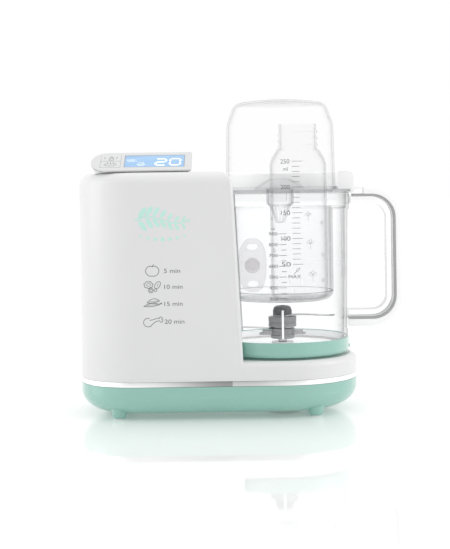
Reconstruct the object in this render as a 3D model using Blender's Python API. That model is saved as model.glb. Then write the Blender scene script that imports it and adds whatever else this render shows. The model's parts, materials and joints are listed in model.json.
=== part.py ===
"""Countertop baby food maker: steam cooker, blender and bottle steriliser on one base.

The row frame has +Z up and the feet on z = 0. The origin is the middle of the object's
footprint box. Everything is laid out from the jar's axis: x is measured from that axis,
towards the handle, y towards the back, and z from the table. The empty "jar_axis" carries
that layout to its place. Sizes are in millimetres, and MM turns them into metres.
"""

import math

import bmesh
import bpy
from mathutils import Matrix, Vector

MM = 0.001

# ---- overall sizes ----
LEFT_REACH = 191.0  # jar axis to the tower's left side
HANDLE_REACH = 116.0  # jar axis to the outside of the handle
HALF_DEPTH = 70.5  # half of the base's depth, and the radius of its right end
LEFT_RADIUS = 57.0  # plan radius of the two left corners
TOWER_TOP = 226.0
DOME_TOP = 294.5
GAP = 0.3  # between two pieces that rest on or in each other
SLIP = 0.6  # between two pieces that turn or slide past each other
BITE = 1.0  # how far a joined shape runs into its neighbour, or a cutter past a face
CLEAR_OF = 5.0  # how far a cutter stands clear of an outside face

# ---- base tray, trim band and feet ----
TRAY_BOTTOM = 4.0
TRAY_TOP = 31.0
TRAY_EDGE_REACH = 27.0
TRAY_EDGE_RISE = 20.0
TRAY_WALL = 2.5
BAND_HEIGHT = 4.4
BAND_WALL = 2.0
FOOT_RADIUS = 6.4  # at the table
FOOT_TOP_RADIUS = 7.6
FOOT_HEIGHT = 9.0
FOOT_INSET = 15.0  # foot centre in from the base's outline
FOOT_X = (-152.0, 28.5)
VENT_RADIUS = 15.0
VENT_SLOT = 2.6
BOSS_RADIUS = 4.5
FRAME_BOSS_X = (-145.0, 42.0)
FRAME_BOSS_Y = (-20.0, 26.0)
POST_RADIUS = 4.2
POST_X = (-143.0, 16.0)
POST_Y = 38.0
RIB = 2.4
END_STEPS = 14  # facets round the base's right end
CORNER_STEPS = 6  # facets round each left corner
EDGE_STEPS = 4  # facets across a rounded edge

# ---- housing: tower and deck in one shell ----
HOUSING_WALL = 2.5
HOUSING_BOTTOM = TRAY_TOP + BAND_HEIGHT + 2 * GAP
DECK_TOP = 53.0
DECK_EDGE_RADIUS = 6.0
TOWER_EDGE_RADIUS = 12.0
TOWER_RIGHT_LOW = -37.6  # x of the tower's right corners, at the deck
TOWER_RIGHT_HIGH = -45.7  # the same at the tower's top
CORNER_FILLET = 3.0
POCKET_CLEARANCE_LOW = 2.1  # pocket wall to collar, at the deck
POCKET_CLEARANCE_HIGH = 1.5  # pocket wall to lid, at the tower's top
REAR_PAD = 6.0  # wall thickness behind the rear cover
PAD_BORDER = 7.0  # how far the thick wall runs past the rear cover
TOP_PAD = 7.0  # wall thickness round the tank's opening
TOP_PAD_BORDER = 6.0  # how far the thick wall runs past the tank and its hinge
SEAT_DEPTH = 8.0  # how far the tower's body runs down into the deck
PIN_TROUGH = 2.0  # the hinge's trough in front of its barrel

# ---- jar and blade base ----
JAR_STEPS = 28  # facets round the jar
COLLAR_RADIUS = 63.4
COLLAR_WALL = 1.4
COLLAR_BOTTOM = 55.1
COLLAR_TOP = 68.7
COLLAR_FLOOR = 57.8
COLLAR_FLOOR_WALL = 2.8
SEAT_RING = (48.0, 52.0)  # the ring under the collar that stands on the deck
GASKET_RING = (55.0, 60.0)
GASKET_HEIGHT = 1.3
RIM_FLARE = 2.0  # height over which the wall widens to the rim
JAR_WALL = 2.8
JAR_FLANGE_RADIUS = 62.8
JAR_FLANGE_BOTTOM = 69.0
JAR_FLANGE_TOP = 75.0
JAR_LOW_RADIUS = 62.0
JAR_TOP_RADIUS = 63.9
RIM_BOTTOM = 190.6
RIM_TOP = 204.2
RIM_RADIUS = 65.5
RIM_WALL = 3.0

# ---- handle ----
HANDLE_TOP = 211.0
HANDLE_BOTTOM = 77.4
HANDLE_CORNER = 30.0
COVER_THICKNESS = 7.3
FRAME_THICKNESS = 9.0
COVER_WIDTH = 24.0
FRAME_WIDTH = 20.0
TAB_END = 78.5  # where the lid's tab stops and the handle's cover begins
TAB_WIDTH = 22.0
HANDLE_STANDOFF = 1.0  # lower arm's end to the jar's wall
HANDLE_STEPS = 6

# ---- cutter and drive ----
SHAFT_RADIUS = 4.0
SHAFT_BOTTOM = 45.0
BUSH_WALL = 2.4
BUSH_FLANGE = 10.5
BUSH_BOTTOM = DECK_TOP + 2.0
BUSH_RISE = 3.0  # bush over the collar's floor
HUB_SLEEVE_RADIUS = 11.5
HUB_RADIUS = 13.4
HUB_CAP_RADIUS = 9.1
SLEEVE_BOTTOM = 66.5
LOWER_BLADE_Z = 77.0
UPPER_BLADE_Z = 88.2
HUB_TOP = 97.6
CAP_THICKNESS = 2.5
CAP_CHAMFER = 2.0
WING_REACH = 22.5
WING_Z = (69.7, 74.5)
WING_WIDTH = 9.0
WING_CORNER = 3.0
BLADE_THICKNESS = 1.2
BLADE_WIDTH = 13.0
UPPER_BLADE_REACH = 50.5
LOWER_BLADE_REACH = 42.0
BLADE_BEND = 7.0  # how far a blade's tip sweeps aside
BLADE_EDGE_TAPER = 0.5  # share of its half width that the cutting edge loses by the tip
BLADE_TAPER = 0.55  # share of its width that a blade loses by the tip
DOG_RADIUS = 8.5
DOG_HEIGHT = 7.5
DOG_SINK = 1.5  # dog's top under the deck
SOCKET_SINK = 2.5  # socket's rim under the deck
SOCKET_RADIUS = 12.4
SOCKET_FLOOR = 3.0
PULLEY_WIDTH = 7.0
PULLEY_BOTTOM = 13.5
DRIVEN_PULLEY_RADIUS = 30.0
MOTOR_PULLEY_RADIUS = 10.0
GROOVE_DEPTH = 2.0
BELT_THICKNESS = 1.5
BELT_WIDTH = 4.0
MOTOR_X = -108.0
MOTOR_RADIUS = 31.0
MOTOR_TOP = 88.0
MOTOR_SHAFT_RADIUS = 3.0
MOTOR_BORE = 25.0  # how far the shaft runs into the motor
MOTOR_CHAMFER = 4.0
BEARING_FLANGE = 3.0
BEARING_DROP = 1.5  # bearing under the frame's sheet
SHAFT_HOLE = 1.5  # frame to motor shaft

# ---- inner frame ----
SHEET = 2.5
FRAME_LEFT = -157.0
FRAME_RIGHT = 50.0
FRAME_BOTTOM = 24.0
FRAME_Y = (-30.0, 33.0)
SHELF_RIGHT = -84.0
SHELF_Y = (4.0, 33.0)
BOILER_SHELF = 94.5
TANK_SHELF = 146.2
FRAME_LAP = 0.5  # sheet left for the shelves to join

# ---- basket, lid and dome ----
BASKET_RADIUS = 49.5
BASKET_WALL = 2.0
BASKET_FLOOR = 103.5
BASKET_CORNER = 8.0
FLANGE_RADIUS = 62.0
FLANGE_HEIGHT = 2.0
SLOT_COUNT = 20
SLOT_SIZE = (4.0, 6.5)  # width and height
SLOT_BOTTOM = 2.5  # over the top of the basket's corner
FLOOR_HOLE_RADIUS = 2.5
FLOOR_HOLE_RINGS = ((0.0, 1), (15.0, 6), (30.0, 10))  # ring radius and holes on it
LID_GASKET_HEIGHT = 1.5
LID_PLATE_HEIGHT = 2.2
LID_PLATE_RADIUS = 66.5
LID_OPENING_RADIUS = 50.0
LIP_HEIGHT = 3.0
LIP_WALL = 1.4
DUCT_RADIUS = 70.5
DUCT_BOTTOM = 205.0
DUCT_WALL = 2.0
DUCT_EDGE_RADIUS = 6.0
DUCT_ANGLES = (-9.0, 198.0)  # from the handle side round the back to the tower
DUCT_STEPS = 20
TAB_LAP = 2.4  # how far the tab runs in behind the duct's rim
INLET_DEPTH = 5.0
STEAM_HEIGHT = 213.5
STEAM_BORE = 3.5
STEAM_WALL = 1.2
DOME_RADIUS = 52.9
DOME_SHOULDER_RADIUS = 51.2
DOME_WALL = 1.8
DOME_SHOULDER = 275.0
CROWN_WIDTH = 1.1  # crown's sideways curve as a share of its height
CROWN_SQUARENESS = 0.9  # power on the crown's rise, less than 1 for a fuller corner
CROWN_RISE = 2.5  # the last rise to the middle of the crown
NOZZLE_Y = 32.0
NOZZLE_RADIUS = 14.2
NOZZLE_FLANGE = 16.5
NOZZLE_CUP_BOTTOM = 193.5
NOZZLE_TIP_RADIUS = 4.5
NOZZLE_TIP = 176.5
NOZZLE_WALL = 1.6
CHANNEL_HALF_WIDTH = 7.0
CHANNEL_Z = (197.0, 205.7)
CHANNEL_END = 60.5
PORT_FRONT = 2.2  # steam port's front edge behind the duct's inside
SHELF_FRONT = 19.0  # front edge of the lid's rear shelf
HOOD_TOP = 219.8
HOOD_HALF_WIDTH = 25.0
HOOD_Y = (20.0, 43.0)
HOOD_WALL = 1.6
HOOD_NARROW = (0.62, 0.35)  # share of width and of depth that the hood loses by its top

# ---- bottle and soother standing in the basket ----
BOTTLE_XY = (16.5, -10.0)
BOTTLE_RADIUS = 27.0
BOTTLE_WALL = 1.5
BOTTLE_SHOULDER = 234.5
BOTTLE_NECK = 247.8
BOTTLE_NECK_RADIUS = 18.0
BOTTLE_TOP = 270.7
THREAD_DEPTH = 1.4
THREAD_START = 6.5  # first thread over the neck's foot
THREAD_PITCH = 6.0
BOTTLE_FOOT_ROUND = 4.0
SHOULDER_ROUND = (2.2, 6.0)  # inwards and up
SOOTHER_XZ = (-28.0, 136.5)
SOOTHER_Y = 2.0
SOOTHER_SIZE = (31.0, 52.0)  # width and height of the shield
SOOTHER_THICKNESS = 2.6
SOOTHER_BUTTON = 7.5
TEAT_RADIUS = 6.0
TEAT_LENGTH = 15.0
BUTTON_PROUD = 5.0
SHIELD_WAIST = 0.14  # share of its half width that the shield loses at its middle

# ---- display ----
DISPLAY_LEFT = -176.0
DISPLAY_LENGTH = 93.0
DISPLAY_DEPTH = 31.0
DISPLAY_THICKNESS = 2.0
DISPLAY_TILT = 33.0
DISPLAY_FRONT_Y = 12.5 - HALF_DEPTH
DISPLAY_FRONT_Z = 228.2
DISPLAY_RIGHT_CORNER = 2.5
WINDOW_U = (31.0, 86.5)  # along the display from its left end
WINDOW_V = (5.5, 26.0)  # up the slope from its front edge
WINDOW_THICKNESS = 0.9
WINDOW_SINK = 0.1
MODULE_MARGIN = 1.5
MODULE_THICKNESS = 2.0
KEY_U = (9.0, 27.5)
KEY_V = ((5.5, 14.9), (16.1, 25.5))
KEY_CORNER = 7.0
KEY_THICKNESS = 1.3
KEY_PROUD = 0.3
KEY_POCKET = 2.4
NECK_INSET = 2.2
NECK_LAP = 1.5  # how far the neck runs up into the display
NECK_STEPS = 6
BOARD_THICKNESS = 1.6
BOARD_RISE = 1.5  # board over the tower's top
BOARD_ROOM = 2.5  # height of the room over the board
BOARD_X = (16.0, 85.0)  # from the display's left end
BOARD_BACK = (14.0, 5.0)  # its front and back, in from the display's back edge

# ---- water and steam system inside the tower ----
TANK_X = (-152.0, -84.0)
TANK_Y = (8.0, 48.0)
TANK_WALL = 2.0
TANK_OPENING_INSET = 3.0
FLAP_THICKNESS = 2.4
FLAP_OVERLAP = 3.0
FLAP_SINK = 0.3
PIN_RADIUS = 1.0
BARREL_RADIUS = 2.2
BARREL_X = (-143.0, -93.0)
PIN_END = 4.0  # pin inside the housing at each end
BOILER_XY = (-115.0, 10.0)
BOILER_RADIUS = 28.0
BOILER_HEIGHT = 42.0
FEED_XY = (-130.0, 20.0)
TUBE_RADIUS = 3.0
OUTLET_LENGTH = 12.0
BOILER_PORT = 17.0  # steam port in front of the boiler's middle
BOILER_CHAMFER = 5.0
TUBE_CLEAR = 6.0  # steam tube to the tank

# ---- back of the tower, screws and cord gland ----
COVER_X = (-128.0, -58.0)
COVER_Z = (62.0, 198.0)
COVER_PLATE = 2.1
COVER_MARGIN = 12.0
SCREW_INSET = 6.0
SCREW_RADIUS = 1.5
SCREW_HEAD_RADIUS = 3.0
SCREW_HEAD_HEIGHT = 1.0
REAR_SCREW_LENGTH = 5.2  # of the 6 mm of wall and cover
BASE_SCREW_LENGTH = 15.0
GLAND_X = -110.0
GLAND_Z = 42.0
GLAND_RADIUS = 4.2
GLAND_BORE = 2.8
GLAND_LENGTH = 9.0
GLAND_FLANGE = 2.0
SCREW_SINK = 0.1  # a screw's head under the cover's face

# ---- derived places ----
AXIS_X = (LEFT_REACH - HANDLE_REACH) / 2
JAR_FOOT_RADIUS = COLLAR_RADIUS - COLLAR_WALL - SLIP
GASKET_BOTTOM = COLLAR_FLOOR + COLLAR_FLOOR_WALL + GAP
JAR_BOTTOM = GASKET_BOTTOM + GASKET_HEIGHT + GAP
PLATE_BOTTOM = RIM_TOP + LID_GASKET_HEIGHT + 2 * GAP
PLATE_TOP = PLATE_BOTTOM + LID_PLATE_HEIGHT
DOME_BOTTOM = PLATE_TOP + GAP
FLANGE_SEAT = PLATE_TOP + 1.8  # top of the nozzle's flange, where the hood sits
DUCT_INNER_RADIUS = DOME_RADIUS + SLIP + LIP_WALL + GAP
FLANGE_BOTTOM = RIM_BOTTOM + GAP
FLANGE_TOP = FLANGE_BOTTOM + FLANGE_HEIGHT
BORE_RADIUS = SHAFT_RADIUS + GAP
BUSH_RADIUS = BORE_RADIUS + BUSH_WALL
BASKET_INSIDE = BASKET_FLOOR + BASKET_WALL
FRAME_TOP = FRAME_BOTTOM + SHEET
TANK_BOTTOM = TANK_SHELF + SHEET + GAP
TANK_TOP = TOWER_TOP - TOP_PAD - GAP
FLAP_Z = TOWER_TOP - FLAP_SINK - FLAP_THICKNESS / 2
HINGE_Y = TANK_Y[1] + FLAP_OVERLAP + BARREL_RADIUS + SLIP
BOILER_BOTTOM = BOILER_SHELF + SHEET + GAP
BOILER_TOP = BOILER_BOTTOM + BOILER_HEIGHT
SCREW_HOLE = SCREW_RADIUS + GAP
TRAY_FLOOR = TRAY_BOTTOM + TRAY_WALL

# colour, roughness, metallic
FINISHES = {
    "white": ((0.86, 0.86, 0.86), 0.32, 0.0),
    "mint": ((0.40, 0.68, 0.60), 0.35, 0.0),
    "chrome": ((0.80, 0.80, 0.80), 0.12, 1.0),
    "clear": ((0.93, 0.95, 0.96), 0.05, 0.0),
    "panel": ((0.78, 0.79, 0.78), 0.40, 0.0),
    "screen": ((0.45, 0.68, 0.92), 0.20, 0.0),
    "steel": ((0.70, 0.70, 0.71), 0.25, 1.0),
    "dark": ((0.16, 0.17, 0.17), 0.50, 0.0),
    "silicone": ((0.85, 0.84, 0.82), 0.60, 0.0),
    "board": ((0.05, 0.30, 0.14), 0.50, 0.0),
}


# ---- tools ----
def clear_scene():
    """Removes every object that the file holds."""
    for old in list(bpy.data.objects):
        bpy.data.objects.remove(old, do_unlink=True)


def finish_material(name):
    """The material of one finish, made once."""
    found = bpy.data.materials.get(name)
    if found:
        return found
    colour, roughness, metallic = FINISHES[name]
    material = bpy.data.materials.new(name)
    material.use_nodes = True
    shader = material.node_tree.nodes["Principled BSDF"]
    shader.inputs["Base Color"].default_value = (*colour, 1.0)
    shader.inputs["Roughness"].default_value = roughness
    shader.inputs["Metallic"].default_value = metallic
    material.diffuse_color = (*colour, 1.0)
    return material


def empty(name, at=(0.0, 0.0, 0.0), parent=None, tilt=0.0):
    """An empty at a place in millimetres, tilted about x by degrees."""
    made = bpy.data.objects.new(name, None)
    bpy.context.scene.collection.objects.link(made)
    made.parent = parent
    made.location = [value * MM for value in at]
    made.rotation_euler = (math.radians(tilt), 0.0, 0.0)
    return made


def add(name, bm, finish, parent, at=(0.0, 0.0, 0.0)):
    """Closes a bmesh in millimetres into an object with a finish, at a place under its parent."""
    bmesh.ops.remove_doubles(bm, verts=bm.verts, dist=1e-4)
    bmesh.ops.recalc_face_normals(bm, faces=bm.faces)
    bmesh.ops.scale(bm, vec=(MM, MM, MM), verts=bm.verts)
    mesh = bpy.data.meshes.new(name)
    bm.to_mesh(mesh)
    bm.free()
    mesh.shade_smooth()
    mesh.set_sharp_from_angle(angle=math.radians(35))
    mesh.materials.append(finish_material(finish))
    made = bpy.data.objects.new(name, mesh)
    bpy.context.scene.collection.objects.link(made)
    made.parent = parent
    made.location = [value * MM for value in at]
    return made


def arc(centre, radius, start, end, steps):
    """Points on an arc from start to end degrees, both ends included."""
    angles = [math.radians(start + (end - start) * i / steps) for i in range(steps + 1)]
    return [(centre[0] + radius * math.cos(a), centre[1] + radius * math.sin(a)) for a in angles]


def loft_bmesh(rings, closed=False):
    """A skin through rings of equally many (x, y, z) points, capped at both ends or closed on itself."""
    bm = bmesh.new()
    rows = [[bm.verts.new(point) for point in ring] for ring in rings]
    count = len(rows[0])
    for low, high in zip(rows, rows[1:]):
        for i in range(count):
            j = (i + 1) % count
            bm.faces.new((low[i], low[j], high[j], high[i]))
    if closed:
        for i in range(count):
            j = (i + 1) % count
            bm.faces.new((rows[-1][i], rows[-1][j], rows[0][j], rows[0][i]))
    else:
        bm.faces.new(rows[0][::-1])
        bm.faces.new(rows[-1])
    return bm


def at_height(outline, z):
    """A flat outline as a ring at height z."""
    return [(x, y, z) for x, y in outline]


def prism_bmesh(outline, low, high):
    """An outline in x and y, extruded from low to high."""
    return loft_bmesh([at_height(outline, low), at_height(outline, high)])


def box_bmesh(x, y, z):
    """A block between three pairs of limits."""
    return prism_bmesh([(x[0], y[0]), (x[1], y[0]), (x[1], y[1]), (x[0], y[1])], z[0], z[1])


def turned_bmesh(profile, steps, axis="Z"):
    """A profile of (radius, height) points turned about z, or about another axis through the origin.

    A profile that starts and ends on the axis makes a solid, and any other closes on itself."""
    bm = bmesh.new()
    corners = [bm.verts.new((radius, 0.0, height)) for radius, height in profile]
    ends = list(zip(corners, corners[1:]))
    if profile[0][0] > 0 or profile[-1][0] > 0:
        ends.append((corners[-1], corners[0]))
    edges = [bm.edges.new(pair) for pair in ends]
    bmesh.ops.spin(
        bm, geom=corners + edges, cent=(0, 0, 0), axis=(0, 0, 1), angle=math.tau, steps=steps,
        use_merge=True,
    )
    if axis == "Y":
        bmesh.ops.rotate(bm, verts=bm.verts, cent=(0, 0, 0), matrix=Matrix.Rotation(-math.pi / 2, 3, "X"))
    if axis == "X":
        bmesh.ops.rotate(bm, verts=bm.verts, cent=(0, 0, 0), matrix=Matrix.Rotation(math.pi / 2, 3, "Y"))
    return bm


def disc_profile(radius, low, high):
    """The profile of a plain round bar."""
    return [(0.0, low), (radius, low), (radius, high), (0.0, high)]


def ring_profile(inner, outer, low, high):
    """The profile of a plain round tube."""
    return [(inner, low), (outer, low), (outer, high), (inner, high)]


def hidden(tool):
    """Marks a cutting or joining tool, which isn't a piece of the object."""
    tool.hide_render = True
    tool.display_type = "WIRE"
    return tool


def joined_bmesh(parts):
    """Several bmeshes as the separate shells of one."""
    whole = bmesh.new()
    for part in parts:
        scratch = bpy.data.meshes.new("scratch")
        bmesh.ops.recalc_face_normals(part, faces=part.faces)
        part.to_mesh(scratch)
        part.free()
        whole.from_mesh(scratch)
        bpy.data.meshes.remove(scratch)
    return whole


def boolean(target, name, bm, operation, at=(0.0, 0.0, 0.0)):
    """Cuts a shape from a piece, or joins it on, with a live Boolean."""
    tool = hidden(add(name, bm, "dark", target.parent, at))
    modifier = target.modifiers.new(name, "BOOLEAN")
    modifier.operation = operation
    modifier.object = tool
    modifier.solver = "EXACT"
    return tool


def cut(target, name, bm, at=(0.0, 0.0, 0.0)):
    return boolean(target, name, bm, "DIFFERENCE", at)


def join(target, name, bm, at=(0.0, 0.0, 0.0)):
    return boolean(target, name, bm, "UNION", at)


def moved(bm, by):
    """The bmesh shifted by a vector in millimetres."""
    bmesh.ops.translate(bm, verts=bm.verts, vec=by)
    return bm


def tube(name, points, radius, finish, parent):
    """A round tube along a smooth curve through the points, with closed ends."""
    curve = bpy.data.curves.new(name, "CURVE")
    curve.dimensions = "3D"
    curve.bevel_depth = radius * MM
    curve.bevel_resolution = 2
    curve.use_fill_caps = True
    curve.resolution_u = 5
    spline = curve.splines.new("BEZIER")
    spline.bezier_points.add(len(points) - 1)
    for knot, point in zip(spline.bezier_points, points):
        knot.co = Vector(point) * MM
        knot.handle_left_type = knot.handle_right_type = "AUTO"
    curve.materials.append(finish_material(finish))
    made = bpy.data.objects.new(name, curve)
    bpy.context.scene.collection.objects.link(made)
    made.parent = parent
    return made


def blend(low, high, share):
    """The value a share of the way from low to high."""
    return low + (high - low) * share


# ---- outlines ----
def base_plan(inset=0.0):
    """The base seen from above: a half circle round the jar, and two rounded corners on the left."""
    half = HALF_DEPTH - inset
    corner = LEFT_RADIUS - inset
    centre_x = -LEFT_REACH + LEFT_RADIUS
    centre_y = HALF_DEPTH - LEFT_RADIUS
    return (
        arc((0, 0), half, -90, 90, END_STEPS)
        + arc((centre_x, centre_y), corner, 90, 180, CORNER_STEPS)
        + arc((centre_x, -centre_y), corner, 180, 270, CORNER_STEPS)
    )


def tower_plan(inset, right):
    """The tower seen from above: the base's left end, and two small fillets at x = right."""
    half = HALF_DEPTH - inset
    corner = LEFT_RADIUS - inset
    left_x = -LEFT_REACH + LEFT_RADIUS
    left_y = HALF_DEPTH - LEFT_RADIUS
    turn_x = right - inset - CORNER_FILLET
    turn_y = half - CORNER_FILLET
    return (
        arc((turn_x, -turn_y), CORNER_FILLET, -90, 0, 2)
        + arc((turn_x, turn_y), CORNER_FILLET, 0, 90, 2)
        + arc((left_x, left_y), corner, 90, 180, CORNER_STEPS)
        + arc((left_x, -left_y), corner, 180, 270, CORNER_STEPS)
    )


def rounded(u, v, radii, steps=4):
    """A rectangle with its own corner radii: right low, right high, left high, left low."""
    right_low, right_high, left_high, left_low = radii
    return (
        arc((u[1] - right_low, v[0] + right_low), right_low, -90, 0, steps)
        + arc((u[1] - right_high, v[1] - right_high), right_high, 0, 90, steps)
        + arc((u[0] + left_high, v[1] - left_high), left_high, 90, 180, steps)
        + arc((u[0] + left_low, v[0] + left_low), left_low, 180, 270, steps)
    )


def band_bmesh(outer, inner, low, high):
    """A closed band between two outlines of equally many points."""
    rings = [at_height(outer, low), at_height(outer, high), at_height(inner, high), at_height(inner, low)]
    return loft_bmesh(rings, closed=True)


def quarter(radius, inset, steps=EDGE_STEPS):
    """(inset, rise) pairs of a rounded edge, from its foot to its top."""
    turns = [math.radians(90 * i / steps) for i in range(steps + 1)]
    return [(inset + radius * (1 - math.cos(turn)), radius * math.sin(turn)) for turn in turns]


def bar_bmesh(radius, low, high, steps=12, axis="Z", at=(0.0, 0.0, 0.0)):
    """A plain round bar at a place."""
    return moved(turned_bmesh(disc_profile(radius, low, high), steps, axis), at)


def sector_bmesh(profile, start, end, steps):
    """A closed (radius, height) profile carried round z from start to end degrees, with flat ends."""
    rings = []
    for step in range(steps + 1):
        turn = math.radians(start + (end - start) * step / steps)
        rings.append([(r * math.cos(turn), r * math.sin(turn), z) for r, z in profile])
    return loft_bmesh(rings)


def sideways_bmesh(outline, y):
    """An outline in x and z, carried from y[0] to y[1]."""
    return loft_bmesh([[(x, side, z) for x, z in outline] for side in y])


# ---- base ----
def tray_skin(inset):
    """The tray's skin: flat bottom, a lower edge rounded to a quarter ellipse, upright rim."""
    reach = TRAY_EDGE_REACH - inset
    rise = TRAY_EDGE_RISE - inset
    turns = [math.radians(90 * step / EDGE_STEPS) for step in range(EDGE_STEPS + 1)]
    rings = [
        at_height(
            base_plan(inset + reach * (1 - math.sin(turn))),
            TRAY_BOTTOM + inset + rise * (1 - math.cos(turn)),
        )
        for turn in turns
    ]
    return rings + [at_height(base_plan(inset), TRAY_TOP)]


def foot_places():
    """Foot centres, all equally far in from the base's outline."""
    centre_x = -LEFT_REACH + LEFT_RADIUS
    centre_y = HALF_DEPTH - LEFT_RADIUS
    left = centre_y + math.sqrt((LEFT_RADIUS - FOOT_INSET) ** 2 - (FOOT_X[0] - centre_x) ** 2)
    right = math.sqrt((HALF_DEPTH - FOOT_INSET) ** 2 - FOOT_X[1] ** 2)
    return [(x, side * y) for x, y in zip(FOOT_X, (left, right)) for side in (-1, 1)]


def build_base(axis):
    """Tray with its bosses, feet shaped to its underside, vent grille and trim band."""
    tray = add("base_tray", loft_bmesh(tray_skin(0.0) + tray_skin(TRAY_WALL)[::-1]), "mint", axis)
    bosses = [(x, y) for x in FRAME_BOSS_X for y in FRAME_BOSS_Y]
    inside = [
        bar_bmesh(BOSS_RADIUS, TRAY_FLOOR - BITE, FRAME_BOTTOM - GAP, 10, at=(x, y, 0)) for x, y in bosses
    ]
    join(tray, "tray_bosses", joined_bmesh(inside))
    holes = []
    for x in POST_X:
        for y in (-POST_Y, POST_Y):
            step = turned_bmesh(
                [
                    (0.0, TRAY_BOTTOM - BITE),
                    (SCREW_HEAD_RADIUS + GAP, TRAY_BOTTOM - BITE),
                    (SCREW_HEAD_RADIUS + GAP, TRAY_BOTTOM + SCREW_HEAD_HEIGHT + GAP),
                    (SCREW_HOLE, TRAY_BOTTOM + SCREW_HEAD_HEIGHT + GAP),
                    (SCREW_HOLE, TRAY_FLOOR + BITE),
                    (0.0, TRAY_FLOOR + BITE),
                ],
                12,
            )
            holes.append(moved(step, (x, y, 0)))
    holes.append(bar_bmesh(VENT_RADIUS + GAP, TRAY_BOTTOM - BITE, TRAY_FLOOR + BITE, 20))
    cut(tray, "tray_holes", joined_bmesh(holes))
    for number, (x, y) in enumerate(foot_places(), 1):
        profile = [(0.0, 0.0), (FOOT_RADIUS, 0.0), (FOOT_TOP_RADIUS, FOOT_HEIGHT), (0.0, FOOT_HEIGHT)]
        foot = add(f"foot_{number}", turned_bmesh(profile, 16), "mint", axis, (x, y, 0))
        seat = loft_bmesh(tray_skin(-GAP))
        cut(foot, f"foot_{number}_seat", seat)
    vent = add("base_vent", bar_bmesh(VENT_RADIUS, TRAY_BOTTOM, TRAY_FLOOR, 20), "dark", axis)
    slots = []
    for row in range(-2, 3):
        reach = math.sqrt((VENT_RADIUS - VENT_SLOT) ** 2 - (2 * VENT_SLOT * row) ** 2)
        middle = 2 * VENT_SLOT * row
        slots.append(
            box_bmesh(
                (-reach, reach), (middle - VENT_SLOT / 2, middle + VENT_SLOT / 2),
                (TRAY_BOTTOM - BITE, TRAY_FLOOR + BITE),
            )
        )
    cut(vent, "vent_slots", joined_bmesh(slots))
    low = TRAY_TOP + GAP
    add("trim_band", band_bmesh(base_plan(), base_plan(BAND_WALL), low, low + BAND_HEIGHT), "chrome", axis)


# ---- housing ----
def right_edge(z):
    """x of the tower's right corners at a height."""
    share = (z - DECK_TOP) / (TOWER_TOP - DECK_TOP)
    return blend(TOWER_RIGHT_LOW, TOWER_RIGHT_HIGH, share)


def pocket_radius(z):
    """Radius of the round pocket that the jar stands in."""
    low = COLLAR_RADIUS + POCKET_CLEARANCE_LOW
    high = DUCT_RADIUS + POCKET_CLEARANCE_HIGH
    return blend(low, high, (z - DECK_TOP) / (TOWER_TOP - DECK_TOP))


def tower_bmesh(inset, bottom, steps=4):
    """The tower's body, inset by a wall, with its rounded top edge."""
    radius = TOWER_EDGE_RADIUS - inset
    foot = TOWER_TOP - inset - radius
    rings = [at_height(tower_plan(inset, right_edge(bottom)), bottom)]
    for side, rise in quarter(radius, inset, steps):
        z = foot + rise
        rings.append(at_height(tower_plan(side, right_edge(z)), z))
    return loft_bmesh(rings)


def pocket_bmesh(wall, low):
    """The jar's pocket as a cutter, grown by a wall."""
    high = TOWER_TOP + CLEAR_OF
    profile = [
        (0.0, low), (pocket_radius(low) + wall, low), (pocket_radius(high) + wall, high), (0.0, high),
    ]
    return turned_bmesh(profile, 44)


def deck_bmesh(inset, bottom):
    """The deck's body, inset by a wall, with its rounded top edge."""
    radius = max(DECK_EDGE_RADIUS - inset, 1.0)
    rings = [at_height(base_plan(inset), bottom)]
    foot = DECK_TOP - inset - radius
    rings += [at_height(base_plan(side), foot + rise) for side, rise in quarter(radius, inset, 3)]
    return loft_bmesh(rings)


def build_housing(axis):
    """One shell: the tower, less the jar's pocket, on the deck."""
    seat = DECK_TOP - SEAT_DEPTH
    housing = add("upper_housing", tower_bmesh(0.0, seat), "white", axis)
    cut(housing, "jar_pocket", pocket_bmesh(0.0, seat - CLEAR_OF))
    join(housing, "deck", deck_bmesh(0.0, HOUSING_BOTTOM))
    cavity = cut(housing, "housing_cavity", tower_bmesh(HOUSING_WALL, seat))
    cut(cavity, "pocket_wall", pocket_bmesh(HOUSING_WALL, seat - CLEAR_OF))
    rear = box_bmesh(
        (COVER_X[0] - PAD_BORDER, COVER_X[1] + PAD_BORDER), (HALF_DEPTH - REAR_PAD, HALF_DEPTH + CLEAR_OF),
        (COVER_Z[0] - PAD_BORDER, COVER_Z[1] + PAD_BORDER),
    )
    border = TOP_PAD_BORDER
    top = box_bmesh(
        (TANK_X[0] - border, TANK_X[1] + border), (TANK_Y[0] - border, HINGE_Y + border),
        (TOWER_TOP - TOP_PAD, TOWER_TOP + CLEAR_OF),
    )
    cut(cavity, "pads", joined_bmesh([rear, top]))
    join(cavity, "deck_cavity", deck_bmesh(HOUSING_WALL, HOUSING_BOTTOM - CLEAR_OF))
    posts = [
        bar_bmesh(POST_RADIUS, TRAY_FLOOR + GAP, DECK_TOP - BITE, 12, at=(x, y, 0))
        for x in POST_X for y in (-POST_Y, POST_Y)
    ]
    join(housing, "screw_posts", joined_bmesh(posts))
    ribs = []
    for x in POST_X:
        for side in (-1, 1):
            y = sorted((side * POST_Y, side * (HALF_DEPTH - HOUSING_WALL + BITE)))
            ribs.append(box_bmesh((x - RIB / 2, x + RIB / 2), y, (HOUSING_BOTTOM, DECK_TOP - BITE)))
    join(housing, "post_ribs", joined_bmesh(ribs))
    cut(housing, "housing_holes", joined_bmesh(housing_holes()))
    return housing


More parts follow.
